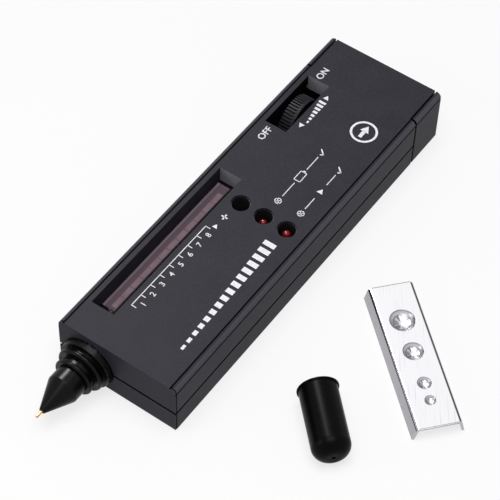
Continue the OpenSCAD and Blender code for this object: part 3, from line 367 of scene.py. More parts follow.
def brushedAluminium():
    # aluminium sheet brushed on its top face: near white with fine lengthwise lines and a few long scratches,
    # drawn about twice as wide as the real ones; the greyer sides and the darker bends, the left one paler,
    # are a painted reflection, and a greyer strip at each end is painted shade
    material, tree, shader, place = startMaterial("aluminiumSheetBrushed")
    along = addNode(tree, "ShaderNodeMapping", {"Vector": place, "Rotation": (0, 0, -restTurn)})
    fine = addNode(tree, "ShaderNodeMapping", {"Vector": along.outputs["Vector"],
                                               "Scale": [perMm(s) for s in restFinish["brushMm"]]})
    lines = addNode(tree, "ShaderNodeTexNoise", {"Vector": fine.outputs["Vector"], "Scale": 1, "Detail": 4})
    slant = addNode(tree, "ShaderNodeMapping", {"Vector": along.outputs["Vector"],
                                                "Rotation": (0, 0, restFinish["scratchTurn"])})
    stretched = addNode(tree, "ShaderNodeMapping", {"Vector": slant.outputs["Vector"],
                                                    "Scale": [perMm(s) for s in restFinish["scratchMm"]]})
    scratch = addNode(tree, "ShaderNodeTexNoise",
                      {"Vector": stretched.outputs["Vector"], "Scale": 1, "Detail": 3})
    worn = addNode(tree, "ShaderNodeValToRGB", {"Fac": scratch.outputs["Fac"]},
                   stops=[(0.6, "#ffffff"), (0.7, restFinish["scratch"])])
    brushed = addNode(tree, "ShaderNodeMix", {0: 1.0, 6: bentSheet(tree), 7: worn.outputs["Color"]},
                      data_type="RGBA", blend_type="MULTIPLY")
    colour = addNode(tree, "ShaderNodeMix", {0: shadedEndStrips(tree, place), 6: brushed.outputs[2],
                                             7: linear(restFinish["endShade"])}, data_type="RGBA")
    rough = addNode(tree, "ShaderNodeMapRange", {"Value": lines.outputs["Fac"], "From Min": 0.3,
                                                 "From Max": 0.7, "To Min": restFinish["bright"],
                                                 "To Max": restFinish["dull"]})
    bump = addNode(tree, "ShaderNodeBump",
                   {"Height": lines.outputs["Fac"], "Strength": restFinish["lineStrength"],
                    "Distance": restFinish["lineDeepMm"] * mm})
    setShader(tree, shader, Base_Color=colour.outputs[2], Roughness=rough.outputs["Result"], Metallic=1.0,
              Normal=bump.outputs["Normal"])
    return material


def placeInCup(tree, place, cups):
    # the place in the nearest cup, measured from its middle in radii
    way = (0, 0, 0)
    for middle, radius in cups:
        spoke = addNode(tree, "ShaderNodeVectorMath", {0: place, 1: (*middle, 0)}, operation="SUBTRACT")
        inRadii = addNode(tree, "ShaderNodeVectorMath",
                          {0: spoke.outputs["Vector"], 1: (1 / radius, 1 / radius, 0)},
                          operation="MULTIPLY").outputs["Vector"]
        far = addNode(tree, "ShaderNodeVectorMath", {0: inRadii}, operation="LENGTH").outputs["Value"]
        near = addNode(tree, "ShaderNodeMath", {0: far, 1: restFinish["reach"]}, operation="LESS_THAN")
        way = addNode(tree, "ShaderNodeMix", {0: near.outputs["Value"], 4: way, 5: inRadii},
                      data_type="VECTOR").outputs[1]
    return way


def pressedAluminium(cups):
    # the cups pressed into the sheet, with a painted reflection: radial streaks of dark and light, greyer
    # rings at the knee and the rim, and a light middle
    material, tree, shader, place = startMaterial("aluminiumCupsPaintedReflection")
    way = placeInCup(tree, place, cups)
    heading = addNode(tree, "ShaderNodeVectorMath", {0: way}, operation="NORMALIZE").outputs["Vector"]
    streak = addNode(tree, "ShaderNodeTexNoise",
                     {"Vector": heading, "Scale": restFinish["reflectionStreaks"], "Detail": 2})
    cone = addNode(tree, "ShaderNodeValToRGB", {"Fac": streak.outputs["Fac"]},
                   stops=[(0.4, restFinish["cupReflectionDark"]), (0.6, restFinish["cupReflectionLight"])])
    reach = addNode(tree, "ShaderNodeVectorMath", {0: way}, operation="LENGTH").outputs["Value"]
    rings = addNode(tree, "ShaderNodeValToRGB", {"Fac": reach}, stops=restFinish["rings"])
    knee, middle = (addNode(tree, "ShaderNodeMapRange", {"Value": reach, "From Min": low, "From Max": high})
                    for low, high in (restFinish["knee"], restFinish["middle"]))
    bowl = addNode(tree, "ShaderNodeMix", {0: knee.outputs["Result"], 6: cone.outputs["Color"],
                                           7: rings.outputs["Color"]}, data_type="RGBA").outputs[2]
    colour = addNode(tree, "ShaderNodeMix", {0: middle.outputs["Result"], 6: linear(restFinish["cupReflectionLight"]),
                                             7: bowl}, data_type="RGBA")
    setShader(tree, shader, Base_Color=colour.outputs[2], Roughness=restFinish["cupRough"], Metallic=1.0)
    return material


# how far lines run on the inner metals, in millimetres, and how much rougher or smoother patches get
innerFinish = {"lineLongMm": 3, "metalSpread": (0.8, 1.2), "solidSpread": (0.85, 1.15)}


def drawnMetal(name, dark, light, lineMm, roughness):
    # bar metal that was turned or drawn: bright, with fine lines left by the tool
    material, tree, shader, place = startMaterial(name)
    lineLong = perMm(innerFinish["lineLongMm"])
    smooth, rougher = innerFinish["metalSpread"]
    stretch = addNode(tree, "ShaderNodeMapping",
                      {"Vector": place, "Scale": (lineLong, perMm(lineMm), lineLong)})
    lines = addNode(tree, "ShaderNodeTexNoise",
                    {"Vector": stretch.outputs["Vector"], "Scale": 1, "Detail": 3})
    colour = addNode(tree, "ShaderNodeValToRGB", {"Fac": lines.outputs["Fac"]},
                     stops=[(0.3, dark), (0.7, light)])
    rough = addNode(tree, "ShaderNodeMapRange", {"Value": lines.outputs["Fac"],
                                                 "To Min": roughness * smooth, "To Max": roughness * rougher})
    setShader(tree, shader, Base_Color=colour.outputs["Color"], Roughness=rough.outputs["Result"],
              Metallic=1.0)
    return material


def cloudedSolid(name, dark, light, sizeMm, roughness, specular=0.3):
    # lacquered, moulded or dipped parts inside the casing: one colour with the slight clouding of its making
    material, tree, shader, place = startMaterial(name)
    smooth, rougher = innerFinish["solidSpread"]
    cloud = addNode(tree, "ShaderNodeTexNoise", {"Vector": place, "Scale": perMm(sizeMm), "Detail": 4})
    colour = addNode(tree, "ShaderNodeValToRGB", {"Fac": cloud.outputs["Fac"]},
                     stops=[(0.3, dark), (0.7, light)])
    rough = addNode(tree, "ShaderNodeMapRange", {"Value": cloud.outputs["Fac"],
                                                 "To Min": roughness * smooth, "To Max": roughness * rougher})
    setShader(tree, shader, Base_Color=colour.outputs["Color"], Roughness=rough.outputs["Result"],
              Specular_IOR_Level=specular)
    return material


inkFinish = {"thin": "#dcdce2", "full": "#f4f4f8", "patchMm": 0.7, "rough": 0.6, "specular": 0.2}


def whiteInk():
    # white pad-printing ink: opaque and a little chalky, thinner in places where the pad left less of it
    material, tree, shader, place = startMaterial("whiteInkPadPrinted")
    patches = addNode(tree, "ShaderNodeTexNoise",
                      {"Vector": place, "Scale": perMm(inkFinish["patchMm"]), "Detail": 4})
    colour = addNode(tree, "ShaderNodeValToRGB", {"Fac": patches.outputs["Fac"]},
                     stops=[(0.25, inkFinish["thin"]), (0.5, inkFinish["full"])])
    setShader(tree, shader, Base_Color=colour.outputs["Color"], Roughness=inkFinish["rough"],
              Specular_IOR_Level=inkFinish["specular"])
    return material


# the battery's wrap: bands as shares of its length from the front, and the size of its creases
batteryFinish = {"bands": [(0.0, "#9a6a3a"), (0.3, "#b0b1b4"), (0.33, "#26272b")], "creaseMm": 3,
                 "smooth": 0.25, "creased": 0.4, "specular": 0.3}


def wrappedCell():
    # steel battery can in a printed plastic wrap: dark behind a pale line and a copper coloured end
    material, tree, shader, place = startMaterial("batteryWrapPrinted")
    b = batteryFinish
    along = addNode(tree, "ShaderNodeSeparateXYZ", {"Vector": place}).outputs["Y"]
    low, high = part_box("battery")
    share = addNode(tree, "ShaderNodeMapRange", {"Value": along, "From Min": low.y, "From Max": high.y})
    colour = addNode(tree, "ShaderNodeValToRGB", {"Fac": share.outputs["Result"]}, stops=b["bands"])
    colour.color_ramp.interpolation = "CONSTANT"
    creases = addNode(tree, "ShaderNodeTexNoise",
                      {"Vector": place, "Scale": perMm(b["creaseMm"]), "Detail": 3})
    rough = addNode(tree, "ShaderNodeMapRange",
                    {"Value": creases.outputs["Fac"], "To Min": b["smooth"], "To Max": b["creased"]})
    setShader(tree, shader, Base_Color=colour.outputs["Color"], Roughness=rough.outputs["Result"],
              Specular_IOR_Level=b["specular"])
    return material


casingAbs = charcoalAbs("charcoalAbsPaintedSheen", casingFinish)
blackVinyl = satinBlack("blackVinylDipped", vinylFinish)
blackMoulding = satinBlack("blackPolypropyleneMoulded", mouldingFinish)
zincSteel = drawnMetal("steelZincPlated", "#a9aaae", "#c6c7ca", 0.4, 0.3)
nickel = drawnMetal("steelNickelPlated", "#c2c2c2", "#dcdcda", 0.5, 0.2)
epoxyBlack = cloudedSolid("epoxyTransferMoulded", "#121214", "#1b1b1d", 2.0, 0.6, 0.2)
nodeMaterials = {
    "upper_shell": casingAbs, "lower_shell": casingAbs, "battery_door": casingAbs,
    "display_window": smokedAcrylic(), "display_module": displayReflector(), "display_bars": diffuserResin(),
    "thumbwheel": ribbedAbs(),
    "probe_collar": blackMoulding, "nose_cone": blackMoulding, "tip_cap": blackVinyl,
    "lamp_sleeves": satinBlack("blackSleeveMoulded", sleeveFinish), "lamp_spacers": epoxyBlack,
    "sounder": epoxyBlack, "driver_chips": epoxyBlack, "amplifier_chip": epoxyBlack, "probe_plug": epoxyBlack,
    "battery_snap": cloudedSolid("blackVinylMoulded", "#101011", "#19191b", 3, 0.5),
    "circuit_board": cloudedSolid("solderMaskOnGlassEpoxy", "#1d5430", "#2b6f42", 1.5, 0.35),
    "trimmers": cloudedSolid("bluePolyesterMoulded", "#20468a", "#2c58a0", 2, 0.4),
    "capacitors": cloudedSolid("blueSleeveShrunk", "#1b2745", "#26355a", 4, 0.35),
    "resistors": cloudedSolid("beigeLacquerDipped", "#b3946a", "#cbb088", 1, 0.45),
    "probe_heater": cloudedSolid("aluminaFired", "#d8d0c0", "#ece6d8", 0.8, 0.7),
    "probe_header": cloudedSolid("nylonMoulded", "#c9c4b3", "#ddd8c9", 2, 0.55),
    "wheel_spindle": nickel, "battery_terminals": nickel, "snap_contacts": nickel,
    "wheel_screw": zincSteel, "case_screws": zincSteel, "board_screws": zincSteel, "probe_spring": zincSteel,
    "volume_pot": cloudedSolid("phenolicMoulded", "#2c2a2a", "#3b3838", 2, 0.5),
    "battery": wrappedCell(),
    "red_lead": cloudedSolid("redPvcExtruded", "#8f1a20", "#b3242b", 2, 0.4),
    "black_lead": cloudedSolid("blackPvcExtruded", "#111112", "#1a1a1c", 2, 0.4),
    "probe_leads": cloudedSolid("siliconeExtruded", "#b5ae9c", "#cbc5b6", 2, 0.5),
    "probe_tube": drawnMetal("brassTurned", "#a37f45", "#c29c5e", 0.3, 0.25),
    "probe_pin": drawnMetal("copperDrawn", "#b9794b", "#dba277", 0.2, 0.28),
    "stone_rest": brushedAluminium(),
    "battery_lamp": redEpoxy(), "ready_lamp": redEpoxy(),
}
for nodeName, node in nodes.items():
    node.data.materials.clear()
    node.data.materials.append(nodeMaterials[nodeName])
print("materials made:", len(bpy.data.materials))


def takeUp(*pieces):
    # only these pieces selected, the first one active, in object mode
    if bpy.context.object and bpy.context.object.mode != "OBJECT":
        bpy.ops.object.mode_set(mode="OBJECT")
    bpy.ops.object.select_all(action="DESELECT")
    for piece in pieces:
        piece.select_set(True)
    bpy.context.view_layer.objects.active = pieces[0]


# what counts as one corner, in millimetres, and as one flat face, in degrees
merging = {"corner": 0.001, "flat": 0.5}


def mergedCopy(nodeName, pieceName):
    # a copy of a CAD node whose loose triangles are merged into whole faces
    piece = bpy.data.objects.new(pieceName, nodes[nodeName].data.copy())
    bpy.context.scene.collection.objects.link(piece)
    takeUp(piece)
    bpy.ops.object.mode_set(mode="EDIT")
    bpy.ops.mesh.select_all(action="SELECT")
    bpy.ops.mesh.remove_doubles(threshold=merging["corner"] * mm)
    bpy.ops.mesh.customdata_custom_splitnormals_clear()
    bpy.ops.mesh.dissolve_limited(angle_limit=math.radians(merging["flat"]))
    bpy.ops.object.mode_set(mode="OBJECT")
    return piece


def roundEdges(piece, width, segments, fromAngle, limit="ANGLE"):
    takeUp(piece)
    bevel = piece.modifiers.new("edges", "BEVEL")
    bevel.width = width * mm
    bevel.segments = segments
    bevel.limit_method = limit
    bevel.angle_limit = math.radians(fromAngle)
    bevel.use_clamp_overlap = False
    bpy.ops.object.modifier_apply(modifier=bevel.name)
    bpy.ops.object.shade_smooth_by_angle(angle=math.radians(fromAngle))
    flats = piece.modifiers.new("flats", "WEIGHTED_NORMAL")
    flats.keep_sharp = True
    bpy.ops.object.modifier_apply(modifier=flats.name)


def roundUnevenly(piece, wide, fine, segments, fromAngle, isWide):
    # the edges that isWide picks get the wide rounding, and all other sharp edges the fine one
    mesh = bmesh.new()
    mesh.from_mesh(piece.data)
    weight = mesh.edges.layers.float.new("bevel_weight_edge")
    for edge in mesh.edges:
        sharp = edge.calc_face_angle(0) > math.radians(fromAngle)
        edge[weight] = 1 if isWide(edge) else sharp * fine / wide
    mesh.to_mesh(piece.data)
    mesh.free()
    roundEdges(piece, wide, segments, fromAngle, "WEIGHT")


# pieces whose edges are rounded: body, slot, width of the rounding in mm, its segments, and the least angle
# in degrees; footRound is the wider rounding of the edges that the casing stands on
roundings = {"upper_shell": ("casing", "casing", 0.1, 2, 32),
             "lower_shell": ("casing", "casing", 0.12, 3, 32),
             "battery_door": ("door", "casing", 0.1, 3, 32),
             "thumbwheel": ("volume_wheel", "wheel", 0.06, 2, 32),
             "probe_collar": ("casing", "black_gloss", 0.1, 2, 25),
             "nose_cone": ("casing", "black_gloss", 0.12, 3, 15),
             "tip_cap": ("cap", "black_gloss", 0.12, 3, 25)}
footPieces = ("lower_shell", "battery_door")
footRound = 0.5


def isFoot(edge):
    # one of the outer edges that the casing stands on
    a, b = (corner.co for corner in edge.verts)
    outer = any(max(abs(a[k] - side[k]), abs(b[k] - side[k])) < closeMm * mm
                for k in (0, 1) for side in (casingLow, casingHigh))
    return outer and max(a.z, b.z) < closeMm * mm


# grooves of the casing in millimetres: heights of the parting groove, places of the seam and of the groove
# behind the front face back from that face, the middles (across, up) and reach of the creases along the
# shoulders, the lamp and sounder holes (across, along, radius), and the thumbwheel's slot (across, along);
# facing and upright are limits on a face's normal
grooves = {"parting": (8.625, 9.575), "lipTop": 10.8, "seam": (134.0, 134.8), "end": (0.35, 0.7),
           "creases": ((20.4, 21.4), (22.5, 19.3)), "creaseReach": 0.28, "near": 0.02,
           "holes": ((-4.3, 4.7, 13.7), 70.9, 3.3), "slot": ((-19.3, -9.5), (104.0, 131.0)),
           "slotFloor": 14.0, "facing": 0.9, "upright": 0.3}
# near black, for painted shade in the casing's grooves and holes
paintedGrooveShade = cloudedSolid("nearBlackPaintedShade", "#040404", "#090909", 1.5, 0.8, 0.02)


def inPort(across, along, normal):
    # on the left wall of the thumbwheel's slot, or in a lamp's or the sounder's hole
    x, y = grooves["slot"]
    if normal.x > grooves["facing"] and x[0] < across < x[1] and y[0] < along < y[1]:
        return True
    holesX, holesY, radius = grooves["holes"]
    return min(math.hypot(across - hole, along - holesY) for hole in holesX) < radius + grooves["near"]


def inGroove(nodeName, across, along, up, normal):
    g, near, facing = grooves, grooves["near"], grooves["facing"]
    low, high = g["parting"]
    onLip = normal.z > facing or up > low + near
    if nodeName == "lower_shell" and low - near < up < g["lipTop"] and onLip:
        return along < g["seam"][0]
    if nodeName == "upper_shell" and abs(up - high) < near and normal.z < -facing:
        return True
    if nodeName == "upper_shell" and abs(normal.z) < g["upright"] and up > g["slotFloor"]:
        if inPort(across, along, normal):
            return True
    if abs(normal.y) > facing and min(abs(along - edge) for edge in g["seam"]) < near:
        return True
    if g["end"][0] - near < along < g["end"][1] + near and nodeName != "battery_door":
        return True
    return any(math.hypot(abs(across) - x, up - z) < g["creaseReach"] for x, z in g["creases"])


def paintGrooveShade(nodeName, piece):
    # painted shade: the fine grooves between the shells and along their edges, the left wall of the
    # thumbwheel's slot and the walls of the lamp and sounder holes get a near-black material
    piece.data.materials.append(paintedGrooveShade)
    slot = len(piece.data.materials) - 1
    for face in piece.data.polygons:
        place = face.center / mm
        if inGroove(nodeName, place.x, place.y - casingLow.y / mm, place.z, face.normal):
            face.material_index = slot


# rear ends of the two recesses in the top plate, in millimetres: places back from the front face and how
# close a face is to them, the stretch across, and the depth below the top
recessEnds = {"y": (79.1, 130.05), "near": 0.2, "x": (-19.0, -9.0), "depth": 7.0, "facing": 0.9}


def paintRecessEndLight(shell):
    # painted light: the forward-facing faces at these ends get a paler copy of the casing material
    r = recessEnds
    shell.data.materials.append(charcoalAbs("charcoalAbsPaintedPale", recessPaintedLight))
    slot = len(shell.data.materials) - 1
    for face in shell.data.polygons:
        across = face.center.x / mm
        along = (face.center.y - casingLow.y) / mm
        inRecess = r["x"][0] < across < r["x"][1] and face.center.z > casingHigh.z - r["depth"] * mm
        atEnd = min(abs(along - y) for y in r["y"]) < r["near"]
        if face.normal.y < -r["facing"] and inRecess and atEnd:
            face.material_index = slot


for nodeName, (body, slotName, width, segments, angle) in roundings.items():
    moulded = mergedCopy(nodeName, nodeName + "Rounded")
    if nodeName in footPieces:
        roundUnevenly(moulded, footRound, width, segments, angle, isFoot)
    else:
        roundEdges(moulded, width, segments, angle)
    if nodeName == "upper_shell":
        paintRecessEndLight(moulded)
    if slotName == "casing":
        paintGrooveShade(nodeName, moulded)
    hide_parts(nodeName)
    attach(moulded, body)
print("edges rounded:", len(roundings))


def pressSpring():
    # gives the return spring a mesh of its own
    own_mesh(nodes["probe_spring"])


pressSpring()

# the lens strip: the air under it and the rounding of its polished edges, in millimetres, and its least angle
lensStrip = {"air": 0.06, "edge": 0.1, "edgeSteps": 2, "fromAngle": 32}


def liftLens():
    # the strip bears on its ledge alone, with a film of air between it and the display
    lens = mergedCopy("display_window", "display_windowPolished")
    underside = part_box("display_window")[0].z
    bpy.ops.object.mode_set(mode="EDIT")
    mesh = bmesh.from_edit_mesh(lens.data)
    bpy.ops.mesh.select_all(action="DESELECT")
    for corner in mesh.verts:
        corner.select_set(abs(corner.co.z - underside) < closeMm * mm)
    bmesh.update_edit_mesh(lens.data)
    bpy.ops.transform.translate(value=(0, 0, lensStrip["air"] * mm))
    bpy.ops.object.mode_set(mode="OBJECT")
    roundEdges(lens, lensStrip["edge"], lensStrip["edgeSteps"], lensStrip["fromAngle"])
    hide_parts("display_window")
    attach(lens, "casing")


liftLens()
print("lens lifted")

# the rest in millimetres: the radius of its bends, the rounding of its cut edges, what counts as a long edge,
# and its cups (place along the rest from its middle, radius); flatNormal, flatMm and cupShare tell a cup's
# faces from the flat top round them
foldedRest = {"bend": 1.0, "bendSteps": 6, "edge": 0.1, "edgeSteps": 2, "fromAngle": 24, "longEdge": 40,
              "cups": [(-13.2, 4.2), (-0.95, 3.36), (11.35, 2.27), (17.95, 1.81)],
              "flatNormal": 0.98, "flatMm": 0.05, "cupShare": 1.05}


def markCups(rest):
    # the cups get the material with the painted reflection, and the flat top round them keeps the brushed one
    r = foldedRest
    low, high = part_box("stone_rest")
    middle = ((low + high) / 2).to_2d()
    along = restAlong.to_2d()
    cups = [(middle + along * place * mm, radius * mm) for place, radius in r["cups"]]
    rest.data.materials.append(pressedAluminium(cups))
    for face in rest.data.polygons:
        flat = face.normal.z > r["flatNormal"] and face.center.z > high.z - r["flatMm"] * mm
        inCup = any((face.center.to_2d() - centre).length < radius * r["cupShare"] for centre, radius in cups)
        face.material_index = int(inCup and not flat)


def foldRest():
    # the sheet's two long bends get their radius, and every cut edge and cup rim a fine rounding
    rest = mergedCopy("stone_rest", "stoneRestFolded")
    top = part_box("stone_rest")[1].z
    bpy.ops.object.mode_set(mode="EDIT")
    mesh = bmesh.from_edit_mesh(rest.data)
    for edge in mesh.edges:
        high = all(abs(corner.co.z - top) < closeMm * mm for corner in edge.verts)
        edge.select_set(high and edge.calc_length() > foldedRest["longEdge"] * mm)
    bmesh.update_edit_mesh(rest.data)
    bpy.ops.mesh.bevel(offset=foldedRest["bend"] * mm, segments=foldedRest["bendSteps"], affect="EDGES")
    bpy.ops.object.mode_set(mode="OBJECT")
    roundEdges(rest, foldedRest["edge"], foldedRest["edgeSteps"], foldedRest["fromAngle"])
    markCups(rest)
    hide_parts("stone_rest")
    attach(rest, "rest")


foldRest()
print("rest folded")

# printing on the top plate: places in millimetres, across from the casing's middle and back from its front
# face; bolder is the outline added to words, as a share of their size
topZ = casingHigh.z / mm
frontY = casingLow.y / mm
ink = {"sink": 0.01, "thick": 0.035, "line": 0.3, "bolder": 0.02, "ringSides": 64, "material": whiteInk()}


def layFlat(shape, x, y, turn=0.0, wide=1.0, long=1.0):
    shape.location = (x * mm, (frontY + y) * mm, (topZ - ink["sink"]) * mm)
    shape.rotation_euler = (0, 0, math.radians(turn))
    shape.scale = (wide, long, 1)
    return shape


def inkBar(x, y, wide, long, turn=0.0):
    bpy.ops.mesh.primitive_plane_add(size=mm)
    return layFlat(bpy.context.object, x, y, turn, wide, long)


def inkLine(x0, y0, x1, y1, width=ink["line"]):
    turn = math.degrees(math.atan2(x0 - x1, y1 - y0))
    return inkBar((x0 + x1) / 2, (y0 + y1) / 2, width, math.hypot(x1 - x0, y1 - y0), turn)


def inkArrowhead(x, y, size, turn=0.0):
    bpy.ops.mesh.primitive_circle_add(vertices=3, radius=size * mm, fill_type="NGON")
    return layFlat(bpy.context.object, x, y, turn)


def inkRing(x, y, radius, width):
    bpy.ops.mesh.primitive_circle_add(vertices=ink["ringSides"], radius=radius * mm, fill_type="NGON")
    ring = bpy.context.object
    bpy.ops.object.mode_set(mode="EDIT")
    bpy.ops.mesh.select_all(action="SELECT")
    bpy.ops.mesh.inset(thickness=width * mm)
    bpy.ops.mesh.delete(type="FACE")
    bpy.ops.object.mode_set(mode="OBJECT")
    return layFlat(ring, x, y)


def inkWords(words, x, y, size):
    # set to read from the probe towards the door, with its middle at this place
    bpy.ops.object.text_add()
    text = bpy.context.object
    text.data.body = words
    text.data.size = size * mm
    text.data.offset = ink["bolder"] * size * mm
    text.data.align_x = "CENTER"
    text.data.align_y = "CENTER"
    bpy.ops.object.convert(target="MESH")
    return layFlat(bpy.context.object, x, y, 90)


def inkRow(x, y0, pitch, count, low, high, long):
    # a row of bars on one base line, x being the middle of the tallest, rising from low to high
    shapes = []
    for i in range(count):
        tall = low + i / (count - 1) * (high - low)
        shapes.append(inkBar(x + high / 2 - tall / 2, y0 + i * pitch, tall, long))
    return shapes


def finishPrint(name, shapes):
    # the flat shapes joined into one print and given the thickness of the ink
    takeUp(*shapes)
    bpy.ops.object.join()
    piece = bpy.context.object
    bpy.ops.object.transform_apply(location=True, rotation=True, scale=True)
    bpy.ops.object.mode_set(mode="EDIT")
    bpy.ops.mesh.select_all(action="SELECT")
    bpy.ops.mesh.extrude_region_move(TRANSFORM_OT_translate={"value": (0, 0, ink["thick"] * mm)})
    bpy.ops.mesh.select_all(action="SELECT")
    bpy.ops.mesh.normals_make_consistent(inside=False)
    bpy.ops.object.mode_set(mode="OBJECT")
    piece.name = name
    piece.data.materials.clear()
    piece.data.materials.append(ink["material"])
    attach(piece, "casing")


scalePrint = {"x": -7.75, "y0": 17.8, "y1": 56.55, "steps": 8, "tickX": -5.9, "numberX": -4.85,
              "numberSize": 2.75, "arrow": (-5.2, 58.2), "arrowSize": 1.1, "plus": (-5.1, 63.1),
              "plusArm": 2.4, "plusLine": 0.5}


def printScale():
    # the ruled scale beside the display, a number for each step, and an arrow and a plus sign past its end
    s = scalePrint
    step = (s["y1"] - s["y0"]) / s["steps"]
    shapes = [inkLine(s["x"], s["y0"] - ink["line"] / 2, s["x"], s["y1"] + ink["line"] / 2)]
    shapes += [inkLine(s["x"], s["y0"] + i * step, s["tickX"], s["y0"] + i * step)
               for i in range(s["steps"] + 1)]
    shapes += [inkWords(str(i + 1), s["numberX"], s["y0"] + (i + 0.5) * step, s["numberSize"])
               for i in range(s["steps"])]
    shapes += [inkArrowhead(*s["arrow"], s["arrowSize"]), inkBar(*s["plus"], s["plusLine"], s["plusArm"]),
               inkBar(*s["plus"], s["plusArm"], s["plusLine"])]
    finishPrint("scalePrint", shapes)


wheelPrint = {"on": (-14.86, 133.65), "off": (-15.19, 99.97), "size": 3.5, "x": -7.65, "y0": 108.9,
              "y1": 126.2, "arrow": 1.2, "barsIn": 3.6, "bars": 7, "barLong": 1.0, "low": 0.7, "high": 2.7}


def printWheel():
    # ON and OFF at the ends of the thumbwheel, and a rising row of bars between two arrowheads beside it
    w = wheelPrint
    shapes = [inkWords("ON", *w["on"], w["size"]), inkWords("OFF", *w["off"], w["size"])]
    shapes += [inkArrowhead(w["x"], w["y0"] + w["arrow"], w["arrow"], 180),
               inkArrowhead(w["x"], w["y1"] - w["arrow"], w["arrow"])]
    pitch = (w["y1"] - w["y0"] - 2 * w["barsIn"]) / (w["bars"] - 1)
    shapes += inkRow(w["x"], w["y0"] + w["barsIn"], pitch, w["bars"], w["low"], w["high"], w["barLong"])
    finishPrint("wheelPrint", shapes)


# rows of signs beside the lamps; gaps are from the lamp sign's middle to the first line, from the middle sign
# to the lines before and after it, and from the row's end to the last line
lampPrint = {"batteryX": 4.8, "readyX": 13.7, "y0": 77.6, "batteryY1": 105.5, "readyY1": 102.5,
             "radius": 1.25, "cross": 0.7, "arrow": 1.3, "tickIn": 1.3, "gaps": (2.4, 3.4, 3.6, 3.6),
             "tick": (((-0.1, -1.2), (0.9, -0.5)), ((0.95, -0.65), (-1.1, 1.2))), "tickLine": 0.45,
             "cellHalf": (1.15, 2.1), "stud": (1.0, 0.6), "studIn": 0.35}


def lampSign(x, y):
    # a circle with a cross, the usual sign for a lamp
    reach = lampPrint["cross"] * lampPrint["radius"]
    return [inkRing(x, y, lampPrint["radius"], ink["line"]),
            inkLine(x - reach, y - reach, x + reach, y + reach),
            inkLine(x - reach, y + reach, x + reach, y - reach)]


def tickSign(x, y):
    return [inkLine(x + x0, y + y0, x + x1, y + y1, lampPrint["tickLine"])
            for (x0, y0), (x1, y1) in lampPrint["tick"]]


def batterySign(x, y):
    half, long = lampPrint["cellHalf"]
    sides = [inkLine(x + side * half, y - long, x + side * half, y + long) for side in (-1, 1)]
    ends = [inkLine(x - half, y + end * long, x + half, y + end * long) for end in (-1, 1)]
    return sides + ends + [inkBar(x, y + long + lampPrint["studIn"], *lampPrint["stud"])]


def readySign(x, y):
    return [inkArrowhead(x, y, lampPrint["arrow"])]


def printLamps():
    # beside each lamp a row of plain signs, joined by lines: lamp, battery or ready, and a tick
    p = lampPrint
    afterLamp, beforeSign, afterSign, beforeTick = p["gaps"]
    for name, x, y1, sign in (("batteryLampPrint", p["batteryX"], p["batteryY1"], batterySign),
                              ("readyLampPrint", p["readyX"], p["readyY1"], readySign)):
        y0 = p["y0"] + p["radius"]
        mid = (p["y0"] + y1) / 2
        middleSign = sign(x, mid)
        shapes = lampSign(x, y0) + middleSign + tickSign(x, y1 - p["tickIn"])
        shapes += [inkLine(x, y0 + afterLamp, x, mid - beforeSign),
                   inkLine(x, mid + afterSign, x, y1 - beforeTick)]
        finishPrint(name, shapes)


bandPrint = {"x": 12.9, "y0": 13.6, "y1": 63.5, "bars": 16, "barLong": 1.9, "low": 1.0, "high": 4.4}


def printBand():
    # a rising row of plain bars along the front of the top plate
    b = bandPrint
    pitch = (b["y1"] - b["y0"] - b["barLong"]) / (b["bars"] - 1)
    shapes = inkRow(b["x"], b["y0"] + b["barLong"] / 2, pitch, b["bars"], b["low"], b["high"], b["barLong"])
    finishPrint("bandPrint", shapes)


doorPrint = {"x": 10.8, "y": 120.0, "radius": 4.7, "width": 0.8, "shaft": (1.3, 3.0), "shaftBack": 1.2,
             "head": 1.9, "headOn": 1.1}


def printDoor():
    # a ring with an arrow that shows which way the battery door slides
    d = doorPrint
    shapes = [inkRing(d["x"], d["y"], d["radius"], d["width"]),
              inkBar(d["x"], d["y"] - d["shaftBack"], *d["shaft"]),
              inkArrowhead(d["x"], d["y"] + d["headOn"], d["head"])]
    finishPrint("doorPrint", shapes)


printScale()
printWheel()
printLamps()
printBand()
printDoor()
print("top plate printed")

# soft studio light: floorWhite is the share of plain white in the floor, sky the world's light on the object,
# and each lamp has its direction, distance and size in millimetres, its watts, and if only gloss shows it
stage = {"floorWhite": 0.74, "floorSize": 6000, "floorDrop": 0.02, "floorRough": 0.9, "sky": 0.3,
         "lamps": {"softbox": {"way": (0.05, -0.1, 0.99), "far": 900, "size": 600, "watts": 5.3,
                               "glossOnly": False},
                   "rearStrip": {"way": (-0.54, 0.31, 0.78), "far": 900, "size": 260, "watts": 8.0,
                                 "glossOnly": True},
                   "frontFill": {"way": (-0.5, -0.7, 0.45), "far": 500, "size": 200, "watts": 0.3,
                                 "glossOnly": False}}}
white = (1, 1, 1, 1)


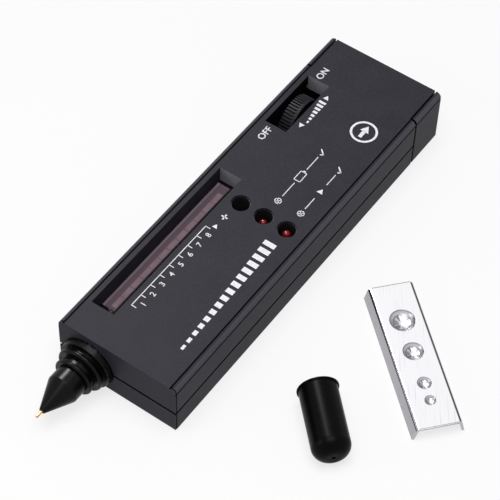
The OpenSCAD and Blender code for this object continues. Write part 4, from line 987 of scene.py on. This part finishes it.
def seenDirectly(tree):
    # 1 for rays from the camera, from gloss and through clear parts, 0 for the rays that light the object
    ray = addNode(tree, "ShaderNodeLightPath")
    first = addNode(tree, "ShaderNodeMath",
                    {0: ray.outputs["Is Camera Ray"], 1: ray.outputs["Is Glossy Ray"]}, operation="MAXIMUM")
    return addNode(tree, "ShaderNodeMath", {0: first.outputs["Value"], 1: ray.outputs["Is Transmission Ray"]},
                   operation="MAXIMUM").outputs["Value"]


def makeFloor():
    # pale paper that stays white to the camera and still takes the object's shadow
    bpy.ops.object.select_all(action="DESELECT")
    bpy.ops.mesh.primitive_plane_add(size=stage["floorSize"] * mm, location=(0, 0, -stage["floorDrop"] * mm))
    floor = bpy.context.object
    floor.name = "paleFloor"
    material, tree, shader = startMaterial("paleFloorPaper")[:3]
    setShader(tree, shader, Base_Color=white, Roughness=stage["floorRough"], Specular_IOR_Level=0.0)
    plain = addNode(tree, "ShaderNodeEmission", {"Color": white, "Strength": 1.0})
    share = addNode(tree, "ShaderNodeMath", {0: seenDirectly(tree), 1: stage["floorWhite"]},
                    operation="MULTIPLY")
    mix = addNode(tree, "ShaderNodeMixShader", {0: share.outputs["Value"], 1: shader.outputs["BSDF"],
                                                2: plain.outputs["Emission"]})
    tree.links.new(mix.outputs["Shader"], tree.nodes["Material Output"].inputs["Surface"])
    floor.data.materials.append(material)


def lightStage():
    world = bpy.data.worlds.new("studio")
    bpy.context.scene.world = world
    world.use_nodes = True
    tree = world.node_tree
    strength = addNode(tree, "ShaderNodeMapRange", {"Value": seenDirectly(tree), "To Min": stage["sky"],
                                                    "To Max": 1.0})
    setShader(tree, tree.nodes["Background"], Color=white, Strength=strength.outputs["Result"])
    for name, lamp in stage["lamps"].items():
        way = Vector(lamp["way"]).normalized()
        bpy.ops.object.light_add(type="AREA")
        light = bpy.context.object
        light.name = name
        light.data.shape = "SQUARE"
        light.data.size = lamp["size"] * mm
        light.data.energy = lamp["watts"]
        light.visible_diffuse = not lamp["glossOnly"]
        turn = way.to_track_quat("Z", "Y").to_matrix().to_4x4()
        light.matrix_world = Matrix.Translation(way * lamp["far"] * mm) @ turn


makeFloor()
lightStage()
print("stage lit")
